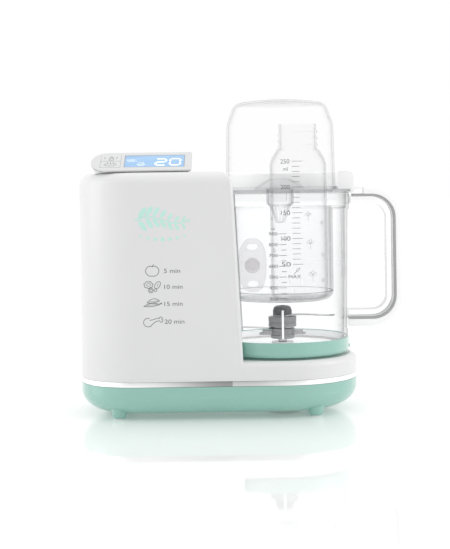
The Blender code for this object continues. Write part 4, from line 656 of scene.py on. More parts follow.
# ---- printed marks ----
@dataclass
class Print:
    """Flat printed marks, gathered in two dimensions and then laid on a surface."""

    shell: Shell = field(default_factory=Shell)

    def area(self, points: np.ndarray, faces: np.ndarray) -> None:
        """Adds a filled area, given its points and faces."""
        flat = np.concatenate([points, np.zeros((len(points), 1))], 1)
        self.shell.add(flat, faces)

    def bar(self, u: Sequence[float], v: Sequence[float]) -> None:
        """Adds a filled rectangle."""
        self.area(
            np.array([(u[0], v[0]), (u[1], v[0]), (u[1], v[1]), (u[0], v[1])]), np.array([[0, 1, 2, 3]]),
        )

    def patch(self, outline: np.ndarray) -> None:
        """Adds a filled outline that bulges everywhere outwards from its middle."""
        count = len(outline)
        index = np.arange(count)
        faces = np.stack([index, (index + 1) % count, np.full(count, count)], -1)
        self.area(np.concatenate([outline, outline.mean(0)[None]]), faces)

    def line(self, path: np.ndarray, width: float, closed: bool = False) -> None:
        """Adds a drawn line of one width.

        Args:
            path: points of the line.
            width: the line's width.
            closed: whether its end joins its start.
        """
        before, after = (path[-1:], path[:1]) if closed else (path[:1], path[-1:])
        ends = np.concatenate([before, path, after])
        along = ends[2:] - ends[:-2]
        along /= np.linalg.norm(along, axis=1, keepdims=True) + 1e-9
        off = np.stack([-along[:, 1], along[:, 0]], -1) * width / 2
        points = np.stack([path - off, path + off], 1)
        self.area(points.reshape(-1, 2), grid_faces(len(path), 2, closed)[:, ::-1])

    def text(self, words: str, at: Sequence[float], height: float, width: float | None = None) -> None:
        """Adds lettering from a left edge, middled on a height.

        Args:
            words: what it says.
            at: the left end of its middle line.
            height: how high its tallest letter is.
            width: how long it is, or None for the font's own.
        """
        curve = bpy.data.curves.new("lettering", "FONT")
        curve.body = words
        curve.resolution_u = 3
        holder = bpy.data.objects.new("lettering", curve)
        mesh = bpy.data.meshes.new_from_object(holder)
        mesh.calc_loop_triangles()
        places = np.empty(len(mesh.vertices) * 3)
        mesh.vertices.foreach_get("co", places)
        places = places.reshape(-1, 3)[:, :2]
        faces = np.empty(len(mesh.loop_triangles) * 3, np.int32)
        mesh.loop_triangles.foreach_get("vertices", faces)
        low, high = places.min(0), places.max(0)
        scale = np.full(2, height / (high[1] - low[1]))
        if width is not None:
            scale[0] = width / (high[0] - low[0])
        places = (places - (low[0], (low[1] + high[1]) / 2)) * scale + at
        bpy.data.objects.remove(holder)
        bpy.data.meshes.remove(mesh)
        bpy.data.curves.remove(curve)
        self.area(places, faces.reshape(-1, 3))

    def laid(self, place: Callable[[np.ndarray], np.ndarray]) -> Shell:
        """The marks on a surface, given what carries flat points (u, v) to it."""
        flat = np.concatenate(self.shell.points)[:, :2]
        return Shell([place(flat)], self.shell.faces, len(flat))


def on_plane(origin: Sequence[float], turn: np.ndarray) -> Callable[[np.ndarray], np.ndarray]:
    """Lays (u, v) on a plane: u and v are the turn's first two axes."""
    return lambda flat: flat[:, :1] * turn[:, 0] + flat[:, 1:] * turn[:, 1] + np.asarray(origin, float)


def on_drum(
    radius: Callable[[np.ndarray], np.ndarray], at: Sequence[float],
) -> Callable[[np.ndarray], np.ndarray]:
    """Lays (u, v) round an upright drum: u runs round its front to the right, and v is the height."""

    def place(flat: np.ndarray) -> np.ndarray:
        """Each mark's points on the drum's skin."""
        r = radius(flat[:, 1])
        turn = flat[:, 0] / r
        return np.stack([at[0] + r * np.sin(turn), at[1] - r * np.cos(turn), flat[:, 1]], -1)

    return place


FRONT = about_x(90.0)


class Machine:
    """Makes finished pieces and keeps their count."""

    def __init__(self) -> None:
        """Reads the layout from the frame."""
        self.layout = Layout()
        self.count = 0

    def piece(
        self, name: str, shell: Shell, finish: Finish, body: str, slot: str, stands_for: Sequence[str] = (),
        sharp: float = 38.0, bevel: float = 0.0, flat: bool = False,
    ) -> bpy.types.Object:
        """Makes an object of a shell.

        Args:
            name: the piece's name.
            shell: its points and faces, in millimetres from the axis.
            finish: its finish.
            body: the CAD body that it moves with.
            slot: the record's material slot; not used.
            stands_for: CAD nodes that it replaces.
            sharp: the angle in degrees over which an edge stays sharp.
            bevel: width of a bevel on its sharp edges.
            flat: whether it is a print, whose faces already point the right way.

        Returns:
            The object.
        """
        mesh = bpy.data.meshes.new(name)
        points = self.layout.metres(np.concatenate(shell.points))
        mesh.from_pydata(points.tolist(), [], shell.faces)
        if not flat:
            bm = bmesh.new()
            bm.from_mesh(mesh)
            bmesh.ops.remove_doubles(bm, verts=bm.verts, dist=2e-6)
            bmesh.ops.dissolve_degenerate(bm, edges=bm.edges, dist=1e-7)
            bmesh.ops.recalc_face_normals(bm, faces=bm.faces)
            bm.to_mesh(mesh)
            bm.free()
            mesh.shade_smooth()
            mesh.set_sharp_from_angle(angle=math.radians(sharp))
        mesh.materials.append(finish.material())
        made = bpy.data.objects.new(name, mesh)
        bpy.context.scene.collection.objects.link(made)
        if bevel > 0:
            edge = made.modifiers.new("bevel", "BEVEL")
            edge.width = bevel * MM
            edge.segments = 2
            edge.limit_method = "ANGLE"
            edge.angle_limit = math.radians(sharp)
        if stands_for:
            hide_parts(*stands_for)
        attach(made, body)
        self.count += 1
        return made


# ---- base and housing ----
@dataclass(frozen=True)
class Plan:
    """The machine seen from above: a half circle round the jar, and the tower's end."""

    left: float
    half: float
    corner: float = 57.0
    fillet: float = 3.0
    right_low: float = -37.6
    right_high: float = -45.7
    pocket_low: float = 65.5
    pocket_high: float = 72.0
    deck: float = 53.0
    top: float = 226.0
    print_room: float = 0.06

    def base(self, inset: float = 0.0) -> np.ndarray:
        """The base's outline, with points all along its straight sides."""
        half = self.half - inset
        centre = self.left + self.corner
        lean = self.half - self.corner
        along = np.linspace(0.0, centre, 14)[1:-1]
        back = np.stack([along, np.full_like(along, half)], -1)
        return np.concatenate([
            arc((0, 0), half, -90, 90, 64), back,
            arc((centre, lean), self.corner - inset, 90, 180, 28),
            arc((centre, -lean), self.corner - inset, 180, 270, 28), back[::-1] * (1, -1),
        ])

    def share(self, z: float) -> float:
        """How far up the tower a height is."""
        return (z - self.deck) / (self.top - self.deck)

    def tower(self, z: float, inset: float = 0.0, pocket_inset: float | None = None) -> np.ndarray:
        """The tower's outline at a height, with the jar's round pocket in its right side.

        Args:
            z: the height.
            inset: how far the outline moves in.
            pocket_inset: how far the pocket grows, or None for the inset.

        Returns:
            Points in order from the front's right corner.
        """
        inset += self.print_room
        edge = self.right_low + (self.right_high - self.right_low) * self.share(z) - inset
        grow = inset if pocket_inset is None else pocket_inset
        pocket = self.pocket_low + (self.pocket_high - self.pocket_low) * self.share(z) + grow
        half = self.half - inset
        lean = self.half - self.corner
        centre = self.left + self.corner
        swing = math.degrees(math.acos(-edge / pocket))
        turn_y = half - self.fillet
        return np.concatenate([
            arc((edge - self.fillet, -turn_y), self.fillet, -90, 0, 7),
            arc((0, 0), pocket, 180 + swing, 180 - swing, 56),
            arc((edge - self.fillet, turn_y), self.fillet, 0, 90, 7),
            arc((centre, lean), self.corner - inset, 90, 180, 28),
            arc((centre, -lean), self.corner - inset, 180, 270, 28),
        ])


def quarter(radius: float, steps: int = 8) -> np.ndarray:
    """(inset, rise) pairs of a rounded edge, from its foot to its top."""
    turn = np.linspace(0.0, math.pi / 2, steps + 1)
    return np.stack([radius * (1 - np.cos(turn)), radius * np.sin(turn)], -1)


def square_hole(outline: np.ndarray, x: Sequence[float], y: Sequence[float]) -> np.ndarray:
    """Points on a rectangle, one on each ray from its middle to a point of the outline round it.

    Args:
        outline: the outline round the rectangle.
        x: the rectangle's lowest and highest x.
        y: its lowest and highest y.

    Returns:
        As many points as the outline has.
    """
    middle = np.array([(x[0] + x[1]) / 2, (y[0] + y[1]) / 2])
    reach = np.array([(x[1] - x[0]) / 2, (y[1] - y[0]) / 2])
    away = outline - middle
    scale = np.min(reach / np.maximum(np.abs(away), 1e-6), axis=1, keepdims=True)
    return middle + away * scale


def round_hole(outline: np.ndarray, radius: float) -> np.ndarray:
    """Points on a circle round the axis, one on each ray to a point of the outline."""
    return outline / np.linalg.norm(outline, axis=1, keepdims=True) * radius


@dataclass
class Base:
    """Mint tray on its feet, with the vent and screws under it and the plated strip on top."""

    machine: Machine
    reach: float = 27.0
    rise: float = 20.0
    vent: float = 15.3
    vent_depth: float = 2.5
    groove: float = 0.3
    lap: float = 0.28
    screws: tuple = ((-143.0, -38.0), (-143.0, 38.0), (16.0, -38.0), (16.0, 38.0))

    def build(self, plan: Plan) -> None:
        """Makes the tray, feet, strip and screws."""
        layout = self.machine.layout
        low, high = layout.box("base_tray")
        bottom, top = low[2], high[2]
        rings = [at_height(round_hole(plan.base(), self.vent * share), z) for share, z in (
            (0.02, bottom + self.vent_depth), (1.0, bottom + self.vent_depth), (1.0, bottom))]
        for inset, rise in quarter(1.0, 14):
            rings.append(at_height(plan.base(self.reach * (1 - rise)), bottom + self.rise * inset))
        rings += [
            at_height(plan.base(), top), at_height(plan.base(2.4), top), at_height(plan.base(2.4), top - 8),
        ]
        tray = Shell().loft(np.stack(rings))
        self.machine.piece("tray_shell", tray, Finish.MINT, "base", "mint", ["base_tray"])
        low, high = layout.box("trim_band")
        z0, z1, step = low[2] - self.lap, high[2] + self.lap, self.groove
        sections = [
            (0.5, z0), (0.1, z0 + step), (0.0, (z0 + z1) / 2), (0.1, z1 - step), (0.5, z1), (2.0, z1),
            (2.0, z0),
        ]
        band = np.stack([at_height(plan.base(inset), z) for inset, z in sections])
        # the strip's plating carries a painted reflection in its colour
        self.machine.piece(
            "plated_strip", Shell().loft(band, True), Finish.CHROME, "base", "chrome", ["trim_band"],
        )
        for number in range(1, 5):
            self.foot(number)
        heads = Shell()
        marks = Print()
        for x, y in self.screws:
            profile = filleted(
                [(0, bottom + 0.6), (2.2, bottom + 0.6, 0.6), (3.0, bottom + 1.4), (0, bottom + 1.4)]
            )
            heads.grid(turned(profile, 32, (x, y)), True)
            for turn in (0, 90):
                cross = rounded((-1.7, 1.7), (-0.35, 0.35), 0.3, 2) @ about_z(turn)[:2, :2].T
                marks.patch(cross + (x, y))
        self.machine.piece("base_screws", heads, Finish.STEEL, "base", "steel")
        laid = marks.laid(lambda flat: at_height(flat, bottom + 0.55))
        self.machine.piece("base_screw_slots", laid, Finish.DARK, "base", "dark_plastic", flat=True)

    def foot(self, number: int) -> None:
        """Makes one rounded foot with its grey pad."""
        low, high = self.machine.layout.box(f"foot_{number}")
        middle = (low + high) / 2
        radius = (high[0] - low[0]) / 2
        profile = filleted(
            [(0, 0.9), (radius - 1.6, 0.9, 1.2), (radius - 0.4, 4.5, 3), (radius, 10.0), (0, 10.0)]
        )
        body = Shell().grid(turned(profile, 40, middle), True)
        self.machine.piece(f"foot_nub_{number}", body, Finish.MINT, "base", "mint", [f"foot_{number}"])
        pad = filleted([(0, 0.0), (radius - 2.4, 0.0, 0.4), (radius - 2.4, 1.0), (0, 1.0)])
        self.machine.piece(
            f"foot_pad_{number}", Shell().grid(turned(pad, 40, middle), True), Finish.SILICONE, "base",
            "silicone",
        )


@dataclass
class Housing:
    """White tower with the jar's pocket and the tank's opening, on the deck."""

    machine: Machine
    wall: float = 2.5
    edge: float = 12.0
    deck_edge: float = 6.0
    pocket_edge: float = 1.6
    socket: float = 13.0
    recess_depth: float = 4.2
    pad: float = 7.0
    mouth_inset: float = 3.0
    flap_z: tuple[float, float] = (223.3, 225.7)

    def build(self, plan: Plan) -> None:
        """Makes the tower, the deck, their prints and the flap over the tank."""
        self.tower(plan)
        self.deck(plan)
        self.flap()
        Legend(self.machine).build(plan)

    def tower(self, plan: Plan) -> None:
        """Makes the tower as one hollow wall.

        It runs up the outside, over the top, in at the tank's opening and down the inside.

        Args:
            plan: the machine's outlines.
        """
        low, high = self.machine.layout.box("water_tank")
        flap_low, flap_high = self.machine.layout.box("tank_lid")
        foot = plan.deck - self.deck_edge
        shoulder = plan.top - self.edge
        rings = [at_height(plan.tower(z), z) for z in (foot, plan.deck, shoulder)]
        for inset, rise in quarter(self.edge)[1:]:
            pocket = self.pocket_edge * inset / self.edge
            rings.append(at_height(plan.tower(shoulder + rise, inset, pocket), shoulder + rise))
        rim = rings[-1][:, :2]
        x = (flap_low[0] - 0.6, flap_high[0] + 0.6)
        y = (flap_low[1] - 0.6, flap_high[1] + 0.6)
        floor = plan.top - self.recess_depth
        inside = self.mouth_inset
        mouth_x, mouth_y = (low[0] + inside, high[0] - inside), (low[1] + inside, high[1] - inside)
        for spread, z in ((0.5, plan.top), (0.15, plan.top - 0.15), (0.0, plan.top - 0.5), (0.0, floor)):
            hole = square_hole(rim, (x[0] - spread, x[1] + spread), (y[0] - spread, y[1] + spread))
            rings.append(at_height(hole, z))
        for z in (floor, plan.top - self.pad):
            rings.append(at_height(square_hole(rim, mouth_x, mouth_y), z))
        rings.append(at_height(plan.tower(plan.top - self.pad, self.edge, self.wall), plan.top - self.pad))
        for z in (shoulder - self.pad, foot):
            rings.append(at_height(plan.tower(z, self.wall), z))
        shell = Shell().loft(np.stack(rings), True)
        self.machine.piece("tower_shell", shell, Finish.WHITE, "base", "white", ["upper_housing"], 42.0)

    def deck(self, plan: Plan) -> None:
        """Makes the deck with its rounded edge and the hole for the drive socket."""
        bottom = self.machine.layout.box("trim_band")[1][2] + 0.3
        shoulder = plan.deck - self.deck_edge
        outline = plan.base()
        rings = [at_height(plan.base(inset), z) for inset, z in ((0.2, bottom), (0.0, bottom + 0.2))]
        rings += [at_height(plan.base(inset), shoulder + rise) for inset, rise in quarter(self.deck_edge)]
        for radius, z in (
            (64.2, 53.0), (63.8, 52.7), (56.0, 52.7), (55.6, 53.0), (self.socket + 0.6, 53.0),
            (self.socket, 52.4), (self.socket, 47.6),
        ):
            rings.append(at_height(round_hole(outline, radius), z))
        rings.append(at_height(round_hole(outline, self.socket + 8), 47.6))
        rings.append(at_height(round_hole(outline, self.socket + 8), plan.deck - self.wall))
        rings += [
            at_height(plan.base(self.deck_edge), plan.deck - self.wall),
            at_height(plan.base(self.wall), shoulder),
        ]
        rings.append(at_height(plan.base(self.wall), bottom))
        shell = Shell().loft(np.stack(rings), True)
        self.machine.piece("deck_shell", shell, Finish.WHITE, "base", "white", sharp=42.0)

    def flap(self) -> None:
        """Makes the tank's flap with its hinge barrel and the mark printed on it."""
        low, high = self.machine.layout.box("tank_lid")
        barrel = 2.2
        hinge_y = high[1] - barrel
        under, top = self.flap_z
        depth = hinge_y - barrel - 0.6
        rings = []
        for inset, z in (
            (0.6, under), (0.0, under + 0.6), (0.0, top - 0.8), (0.25, top - 0.25), (0.8, top),
        ):
            outline = rounded((low[0] + inset, high[0] - inset), (low[1] + inset, depth - inset), 3.0)
            rings.append(at_height(outline, z))
        shell = Shell().loft(np.stack(rings))
        x = np.array([low[0] + 12.0, high[0] - 12.0])
        turn = np.linspace(0, math.tau, 24, endpoint=False)
        ring = np.stack(
            [0 * turn, hinge_y + barrel * np.cos(turn), (under + top) / 2 + barrel * np.sin(turn)], -1,
        )
        shell.loft(np.stack([ring + (side, 0, 0) for side in x]))
        web = box_rings((x[0], depth - 2, under + 0.2), (x[1], hinge_y, top - 0.2), 0.3)
        shell.loft(web)
        self.machine.piece("tank_flap", shell, Finish.WHITE, "tank_lid", "white", ["tank_lid"])
        marks = Print()
        middle = (low[0] + high[0]) / 2
        drop = arc((middle, low[1] + 9.5), 2.6, -205, 25, 20)
        marks.line(np.concatenate([drop, [(middle, low[1] + 15.6)]]), 0.5, True)
        wave = low[1] + 4 + 0.5 * np.sin(np.linspace(0, 9, 20))
        marks.line(np.stack([middle + 6 * np.linspace(-1, 1, 20), wave], -1), 0.5)
        laid = marks.laid(lambda flat: at_height(flat, top + 0.04))
        self.machine.piece("tank_flap_mark", laid, Finish.INK_PALE, "tank_lid", "white", flat=True)


@dataclass
class Legend:
    """What is printed on the tower's front: a leaf motif over four cooking times."""

    machine: Machine
    motif: tuple[float, float] = (-109.0, 178.5)
    icon_u: float = -118.8
    words_u: float = -108.2
    rows: tuple = (136.6, 122.2, 106.8, 90.7)
    words: tuple = (("5 min", 14.6), ("10 min", 16.6), ("15 min", 16.4), ("20 min", 17.8))
    line: float = 0.55

    def build(self, plan: Plan) -> None:
        """Prints the motif and the rows on the front."""
        face = on_plane((0, -plan.half, 0), FRONT)
        motif = self.sprig()
        self.machine.piece("front_motif", motif.laid(face), Finish.INK_MINT, "base", "white", flat=True)
        marks = Print()
        for icon, row in zip((self.apple, self.vegetables, self.peas, self.drumstick), self.rows):
            icon(marks, self.icon_u, row)
        for (words, width), row in zip(self.words, self.rows):
            marks.text(words, (self.words_u, row), 3.9, width)
        self.machine.piece("cooking_times", marks.laid(face), Finish.INK_GREY, "base", "white", flat=True)

    def sprig(self) -> Print:
        """A curved stem with paired leaves that shorten to its tip, over a row of dots."""
        marks = Print()
        share = np.linspace(0, 1, 40)
        u = self.motif[0] + 25.0 * (2 * share - 1)
        v = self.motif[1] + 3.0 * np.sin(share * math.tau) + 4.0
        marks.line(np.stack([u, v], -1), 1.3)
        turn = np.linspace(0, math.tau, 25)[:-1]
        for number in range(7):
            place = 0.06 + 0.13 * number
            size = 11.5 - 1.0 * number
            spot = np.array([np.interp(place, share, u), np.interp(place, share, v)])
            for side in (-1, 1):
                along = 1.3 + size * (0.5 + 0.5 * np.cos(turn))
                across = size * 0.2 * np.sin(turn)
                marks.patch(leaning(along, across, side * 56) + spot)
        for number in range(7):
            centre = (self.motif[0] + 6.6 * (number - 3), self.motif[1] - 13.5 + 0.35 * (number - 3) ** 2)
            marks.patch(arc(centre, 1.9 - 0.28 * abs(number - 3), 0, 345, 23))
        return marks

    def apple(self, marks: Print, u: float, v: float) -> None:
        """A round fruit with a dip at its top and bottom, and a stalk."""
        turn = np.linspace(0, math.tau, 60, endpoint=False)
        dip = 1 - 0.16 * np.exp(-((np.abs(turn - math.pi / 2)) / 0.35) ** 2)
        dip = dip - 0.08 * np.exp(-((np.abs(turn - 3 * math.pi / 2)) / 0.3) ** 2)
        marks.line(
            np.stack([u + 6.0 * dip * np.cos(turn), v + 5.0 * dip * np.sin(turn)], -1), self.line, True,
        )
        marks.line(np.array([(u, v + 3.6), (u + 0.5, v + 5.2), (u + 1.4, v + 5.8)]), self.line)

    def vegetables(self, marks: Print, u: float, v: float) -> None:
        """A floret, a mushroom and two round slices."""
        turn = np.linspace(0, math.tau, 48, endpoint=False)
        ripple = 1 + 0.10 * np.sin(7 * turn)
        head = np.stack([u - 3.6 + 3.9 * ripple * np.cos(turn), v + 1.9 + 3.0 * ripple * np.sin(turn)], -1)
        marks.line(head, self.line, True)
        heart = np.stack([u - 3.4 + 1.8 * np.cos(turn), v + 2.0 + 1.3 * np.sin(turn)], -1)
        marks.line(heart, self.line * 0.7, True)
        cap = leaning(3.6 * np.cos(turn), 2.1 * np.sin(turn), 55) + (u + 4.6, v + 1.6)
        marks.line(cap, self.line, True)
        marks.line(np.array([(u + 4.2, v + 0.2), (u + 4.8, v + 1.8), (u + 5.8, v + 3.0)]), self.line * 0.7)
        for centre, radius in (
            ((u - 1.4, v - 3.2), 2.2), ((u - 1.4, v - 3.2), 1.2), ((u + 2.9, v - 3.0), 1.2),
        ):
            marks.line(arc(centre, radius, 0, 350, 35), self.line * 0.85, True)

    def peas(self, marks: Print, u: float, v: float) -> None:
        """Two pods that taper to the left, one over the other."""
        share = np.linspace(0, 1, 24)
        for lift, length, high in ((-2.3, 14.5, 2.1), (1.0, 11.5, 2.9)):
            base = u - 8.2 + (14.5 - length)
            rise = v + lift + 1.6 * share
            top = np.stack([base + length * share, rise + high * np.sin(share * math.pi) ** 0.8], -1)
            low = np.stack([base + length * share, rise - 0.7 * np.sin(share * math.pi)], -1)
            marks.line(np.concatenate([top, low[::-1][1:-1]]), self.line, True)
            vein = share[4:-3]
            marks.line(np.stack([base + length * vein, v + lift + 0.7 + 1.4 * vein], -1), self.line * 0.6)
        marks.line(np.array([(u + 6.0, v + 0.6), (u + 7.4, v + 0.4), (u + 8.6, v + 1.2)]), self.line)
        marks.line(np.array([(u + 6.6, v - 0.3), (u + 7.6, v + 0.4), (u + 8.6, v - 0.4)]), self.line)

    def drumstick(self, marks: Print, u: float, v: float) -> None:
        """A round body drawn out to the right, with a knuckle at its end."""
        share = np.linspace(0, 1, 30)
        body = arc((u - 4.2, v - 0.6), 3.9, 75, 300, 30) * (1.1, 1.0) - (0.1 * (u - 4.2), 0.0)
        low = np.stack(
            [u - 2.0 + 8.2 * share, v - 3.9 + 4.9 * share**0.8 + 0.8 * np.sin(share * math.pi)], -1,
        )
        high = np.stack([u + 6.2 - 9.2 * share, v + 2.4 + 0.9 * np.cos(share * math.pi)], -1)
        marks.line(np.concatenate([body, low]), self.line)
        marks.line(high, self.line)
        marks.line(arc((u + 7.2, v + 3.0), 1.3, -60, 190, 14), self.line)
        marks.line(arc((u + 7.6, v + 0.9), 1.3, -170, 80, 14), self.line)


# ---- display ----
@dataclass
class Display:
    """Tilted display panel: a plate with pockets on its neck, the lit screen and two keys."""

    machine: Machine
    origin: tuple[float, float, float] = (-176.0, -58.0, 228.2)
    length: float = 93.0
    depth: float = 31.0
    thickness: float = 2.0
    tilt: float = 33.0
    corner: float = 2.5
    window_u: tuple[float, float] = (31.0, 86.5)
    window_v: tuple[float, float] = (5.5, 26.0)
    key_u: tuple[float, float] = (9.0, 27.5)
    key_v: tuple = ((5.5, 14.9), (16.1, 25.5))
    slack: float = 0.15
    digit: tuple[float, float] = (9.4, 11.0)

    def place(self, points: np.ndarray) -> np.ndarray:
        """Carries (u, v, w) on the panel to the machine."""
        return placed(points, about_x(self.tilt), self.origin)

    def left_edge(self, v: np.ndarray, inset: float = 0.0) -> np.ndarray:
        """u of the panel's round left end at each v."""
        radius = self.depth / 2 - inset
        off = np.clip(np.abs(v - self.depth / 2), 0, radius)
        return self.depth / 2 - np.sqrt(radius**2 - off**2)

    def right_edge(self, v: np.ndarray, inset: float = 0.0) -> np.ndarray:
        """u of the panel's right edge at each v, with its small corners."""
        off = np.clip(self.corner - np.minimum(v - inset, self.depth - inset - v), 0, self.corner)
        return self.length - inset - (self.corner - np.sqrt(self.corner**2 - off**2))

    def sheet(self, inset: float, w: float) -> np.ndarray:
        """The panel's grid of points, with lines along every pocket's edge.

        Args:
            inset: how far its outline moves in.
            w: its depth.

        Returns:
            A grid with u along its first direction and v along its second.
        """
        cuts = [
            v for pair in (*self.key_v, self.window_v) for v in (pair[0] - self.slack, pair[1] + self.slack)
        ]
        even = inset + (self.depth - 2 * inset) * np.sin(np.linspace(0, math.pi / 2, 15)) ** 2
        v = np.unique(np.round(np.concatenate([even, np.array(cuts)]), 4))
        fixed = [
            u for pair in (self.key_u, self.window_u) for u in (pair[0] - self.slack, pair[1] + self.slack)
        ]
        left, right = self.left_edge(v, inset), self.right_edge(v, inset)
        columns = [left, *[np.maximum(np.full_like(v, u), left) for u in fixed], right]
        u = np.stack(columns)
        return np.stack([u, np.broadcast_to(v, u.shape), np.full_like(u, w)], -1)

    def build(self) -> None:
        """Makes the panel, neck, screen and keys."""
        self.panel()
        self.neck()
        self.screen()
        for name, v, icon in (
            ("key_lower", self.key_v[0], self.bowl), ("key_upper", self.key_v[1], self.bottle),
        ):
            self.key(name, v, icon)

    def panel(self) -> None:
        """Makes the plate with its three pockets."""
        top = self.sheet(0.0, 0.0)
        bottom = self.sheet(0.0, -self.thickness)
        middle = (top[:-1, :-1] + top[1:, 1:]) / 2
        keep = np.ones(middle.shape[:2], bool)
        pockets = [(self.key_u, v) for v in self.key_v] + [(self.window_u, self.window_v)]
        for u, v in pockets:
            inside_u = (middle[..., 0] > u[0] - 0.2) & (middle[..., 0] < u[1] + 0.2)
            inside_v = (middle[..., 1] > v[0] - 0.2) & (middle[..., 1] < v[1] + 0.2)
            keep &= ~(inside_u & inside_v)
        shell = Shell().walls(self.place(top), self.place(bottom), keep, False)
        u = self.key_u
        for v in self.key_v:
            floor = box_rings((u[0] - 0.4, v[0] - 0.4, -2.6), (u[1] + 0.4, v[1] + 0.4, -2.0), 0.3)
            shell.loft(self.place(floor))
        self.machine.piece(
            "panel_plate", shell, Finish.PANEL, "base", "panel_grey", ["display_housing"], bevel=0.45,
        )
        # painted shade: a grey lip under the plate's edge, where its underside is in shadow
        rim = np.concatenate([bottom[0], bottom[1:-1, -1], bottom[-1][::-1], bottom[1:-1, 0][::-1]])
        inner = rim[:, :2] + (np.array([self.length, self.depth]) / 2 - rim[:, :2]) * 0.05
        levels = ((rim[:, :2], 0.6), (rim[:, :2], 0.0), (inner, -0.25), (inner, 0.6))
        lip = np.stack([at_height(edge, -self.thickness + rise) for edge, rise in levels])
        under = Shell().loft(self.place(lip), True)
        self.machine.piece("panel_under_edge", under, Finish.GROOVE, "base", "panel_grey")

    def neck(self) -> None:
        """Makes the neck that stands on the tower and carries the plate."""
        lean = math.radians(self.tilt)
        v = 2.2 + (self.depth - 4.4) * np.sin(np.linspace(0, math.pi / 2, 30)) ** 2
        left = np.stack([self.left_edge(v, 2.2), v], -1)
        right = np.stack([self.right_edge(v, 2.2), v], -1)
        outline = np.concatenate([left, right[::-1]])
        rings = []
        for share in (0.0, 1.0):
            y = outline[:, 1] * math.cos(lean) + self.thickness * math.sin(lean)
            high = outline[:, 1] * math.sin(lean) - self.thickness * math.cos(lean) - 0.02
            z = (1 - share) * (226.3 - self.origin[2]) + share * high
            rings.append(np.stack([outline[:, 0], y, z + 0 * y], -1) + self.origin)
        self.machine.piece(
            "display_neck", Shell().loft(np.stack(rings)), Finish.WHITE, "base", "panel_grey",
        )

    def screen(self) -> None:
        """Makes the lit screen, its dark border and what it shows."""
        u, v = self.window_u, self.window_v
        rings = np.stack([at_height(rounded((u[0] + i, u[1] - i), (v[0] + i, v[1] - i), 1.2), w)
                          for i, w in ((0.0, -1.0), (0.0, -0.25), (0.15, -0.1))])
        face = Shell().loft(self.place(rings))
        self.machine.piece("lcd_face", face, Finish.LCD, "base", "screen", ["lcd_window"])
        border = Print()
        border.line(rounded((u[0] + 0.3, u[1] - 0.3), (v[0] + 0.3, v[1] - 0.3), 1.0), 0.35, True)
        self.machine.piece(
            "lcd_border", border.laid(self.lay(-0.06)), Finish.INK_PALE, "base", "screen", flat=True,
        )
        marks = Print()
        for start, segments in ((59.8, "abged"), (73.0, "abcdef")):
            self.seven(marks, start, 8.4, segments)
        for number in range(4):
            marks.line(arc((34.6 + 1.9 * number, 18.0), 1.0, 100, 260, 8), 0.5)
        marks.bar((34.0, 42.5), (15.6, 16.2))
        bowl = arc((46.5, 10.6), 3.6, 180, 360, 16) * (1.0, 0.6) + (0.0, 4.24)
        marks.line(bowl, 0.6, True)
        for number in range(3):
            rise = np.linspace(0, 1, 9)
            marks.line(
                np.stack([44.6 + 1.9 * number + 0.35 * np.sin(rise * 6), 11.8 + 2.6 * rise], -1), 0.45,
            )
        self.machine.piece(
            "lcd_figures", marks.laid(self.lay(-0.03)), Finish.SEGMENT, "base", "screen", flat=True,
        )

    def lay(self, w: float) -> Callable[[np.ndarray], np.ndarray]:
        """Lays flat marks on the panel at a depth."""
        return lambda flat: self.place(at_height(flat, w))

    def seven(self, marks: Print, u: float, v: float, lit: str) -> None:
        """One seven-segment figure with a slight lean.

        Args:
            marks: where it is printed.
            u: its left edge.
            v: its foot.
            lit: the letters of its lit segments.
        """
        wide, high = self.digit
        half = high / 2
        bar = 1.9
        places = {
            "a": ((0, high), (wide, high)), "b": ((wide, half), (wide, high)),
            "c": ((wide, 0), (wide, half)), "d": ((0, 0), (wide, 0)), "e": ((0, 0), (0, half)),
            "f": ((0, half), (0, high)), "g": ((0, half), (wide, half)),
        }
        for name in lit:
            start, end = (np.array(point, float) for point in places[name])
            along = (end - start) / np.linalg.norm(end - start)
            side = np.array([-along[1], along[0]]) * bar / 2
            start, end = start + along * 0.45, end - along * 0.45
            tip = along * bar / 2
            low, high = [start + tip - side, end - tip - side], [end - tip + side, start + tip + side]
            segment = np.array([start, *low, end, *high])
            segment[:, 0] += 0.03 * segment[:, 1]
            marks.patch(segment + (u, v))

    def key(self, name: str, v: Sequence[float], icon: Callable[[Print], None]) -> None:
        """Makes one key with its rounded top edge and icon."""
        u = self.key_u
        rings = np.stack([at_height(rounded((u[0] + i, u[1] - i), (v[0] + i, v[1] - i), 1.0), w)
                          for i, w in ((0.0, -1.0), (0.0, 0.12), (0.1, 0.26), (0.3, 0.3))])
        self.machine.piece(
            f"{name}_cap", Shell().loft(self.place(rings)), Finish.PANEL, name, "panel_grey", [name],
        )
        marks = Print()
        icon(marks)
        self.machine.piece(
            f"{name}_icon", marks.laid(self.lay(0.33)), Finish.INK_GREY, name, "panel_grey", flat=True,
        )

    def bowl(self, marks: Print) -> None:
        """A steaming bowl."""
        marks.line(arc((18.2, 11.0), 5.6, 180, 360, 20) * (1.0, 0.62) + (0.0, 4.18), 0.45, True)
        rise = np.linspace(0, 1, 9)
        for number in range(3):
            marks.line(np.stack([15.6 + 2.6 * number + 0.4 * np.sin(rise * 6), 11.6 + 2.4 * rise], -1), 0.4)

    def bottle(self, marks: Print) -> None:
        """A small bottle between a plus and a drop."""
        marks.line(rounded((16.6, 20.4), (17.2, 21.8), 0.8, 3), 0.4, True)
        marks.line(rounded((17.5, 19.5), (22.1, 23.4), 0.4, 2), 0.4, True)
        marks.bar((17.6, 19.4), (19.2, 19.6))
        marks.line(np.array([(11.6, 21.6), (13.2, 21.6)]), 0.5)
        marks.line(np.array([(12.4, 20.8), (12.4, 22.4)]), 0.5)
        marks.line(np.array([(23.4, 22.9), (24.2, 21.2), (23.4, 20.2), (22.6, 21.2)]), 0.4, True)


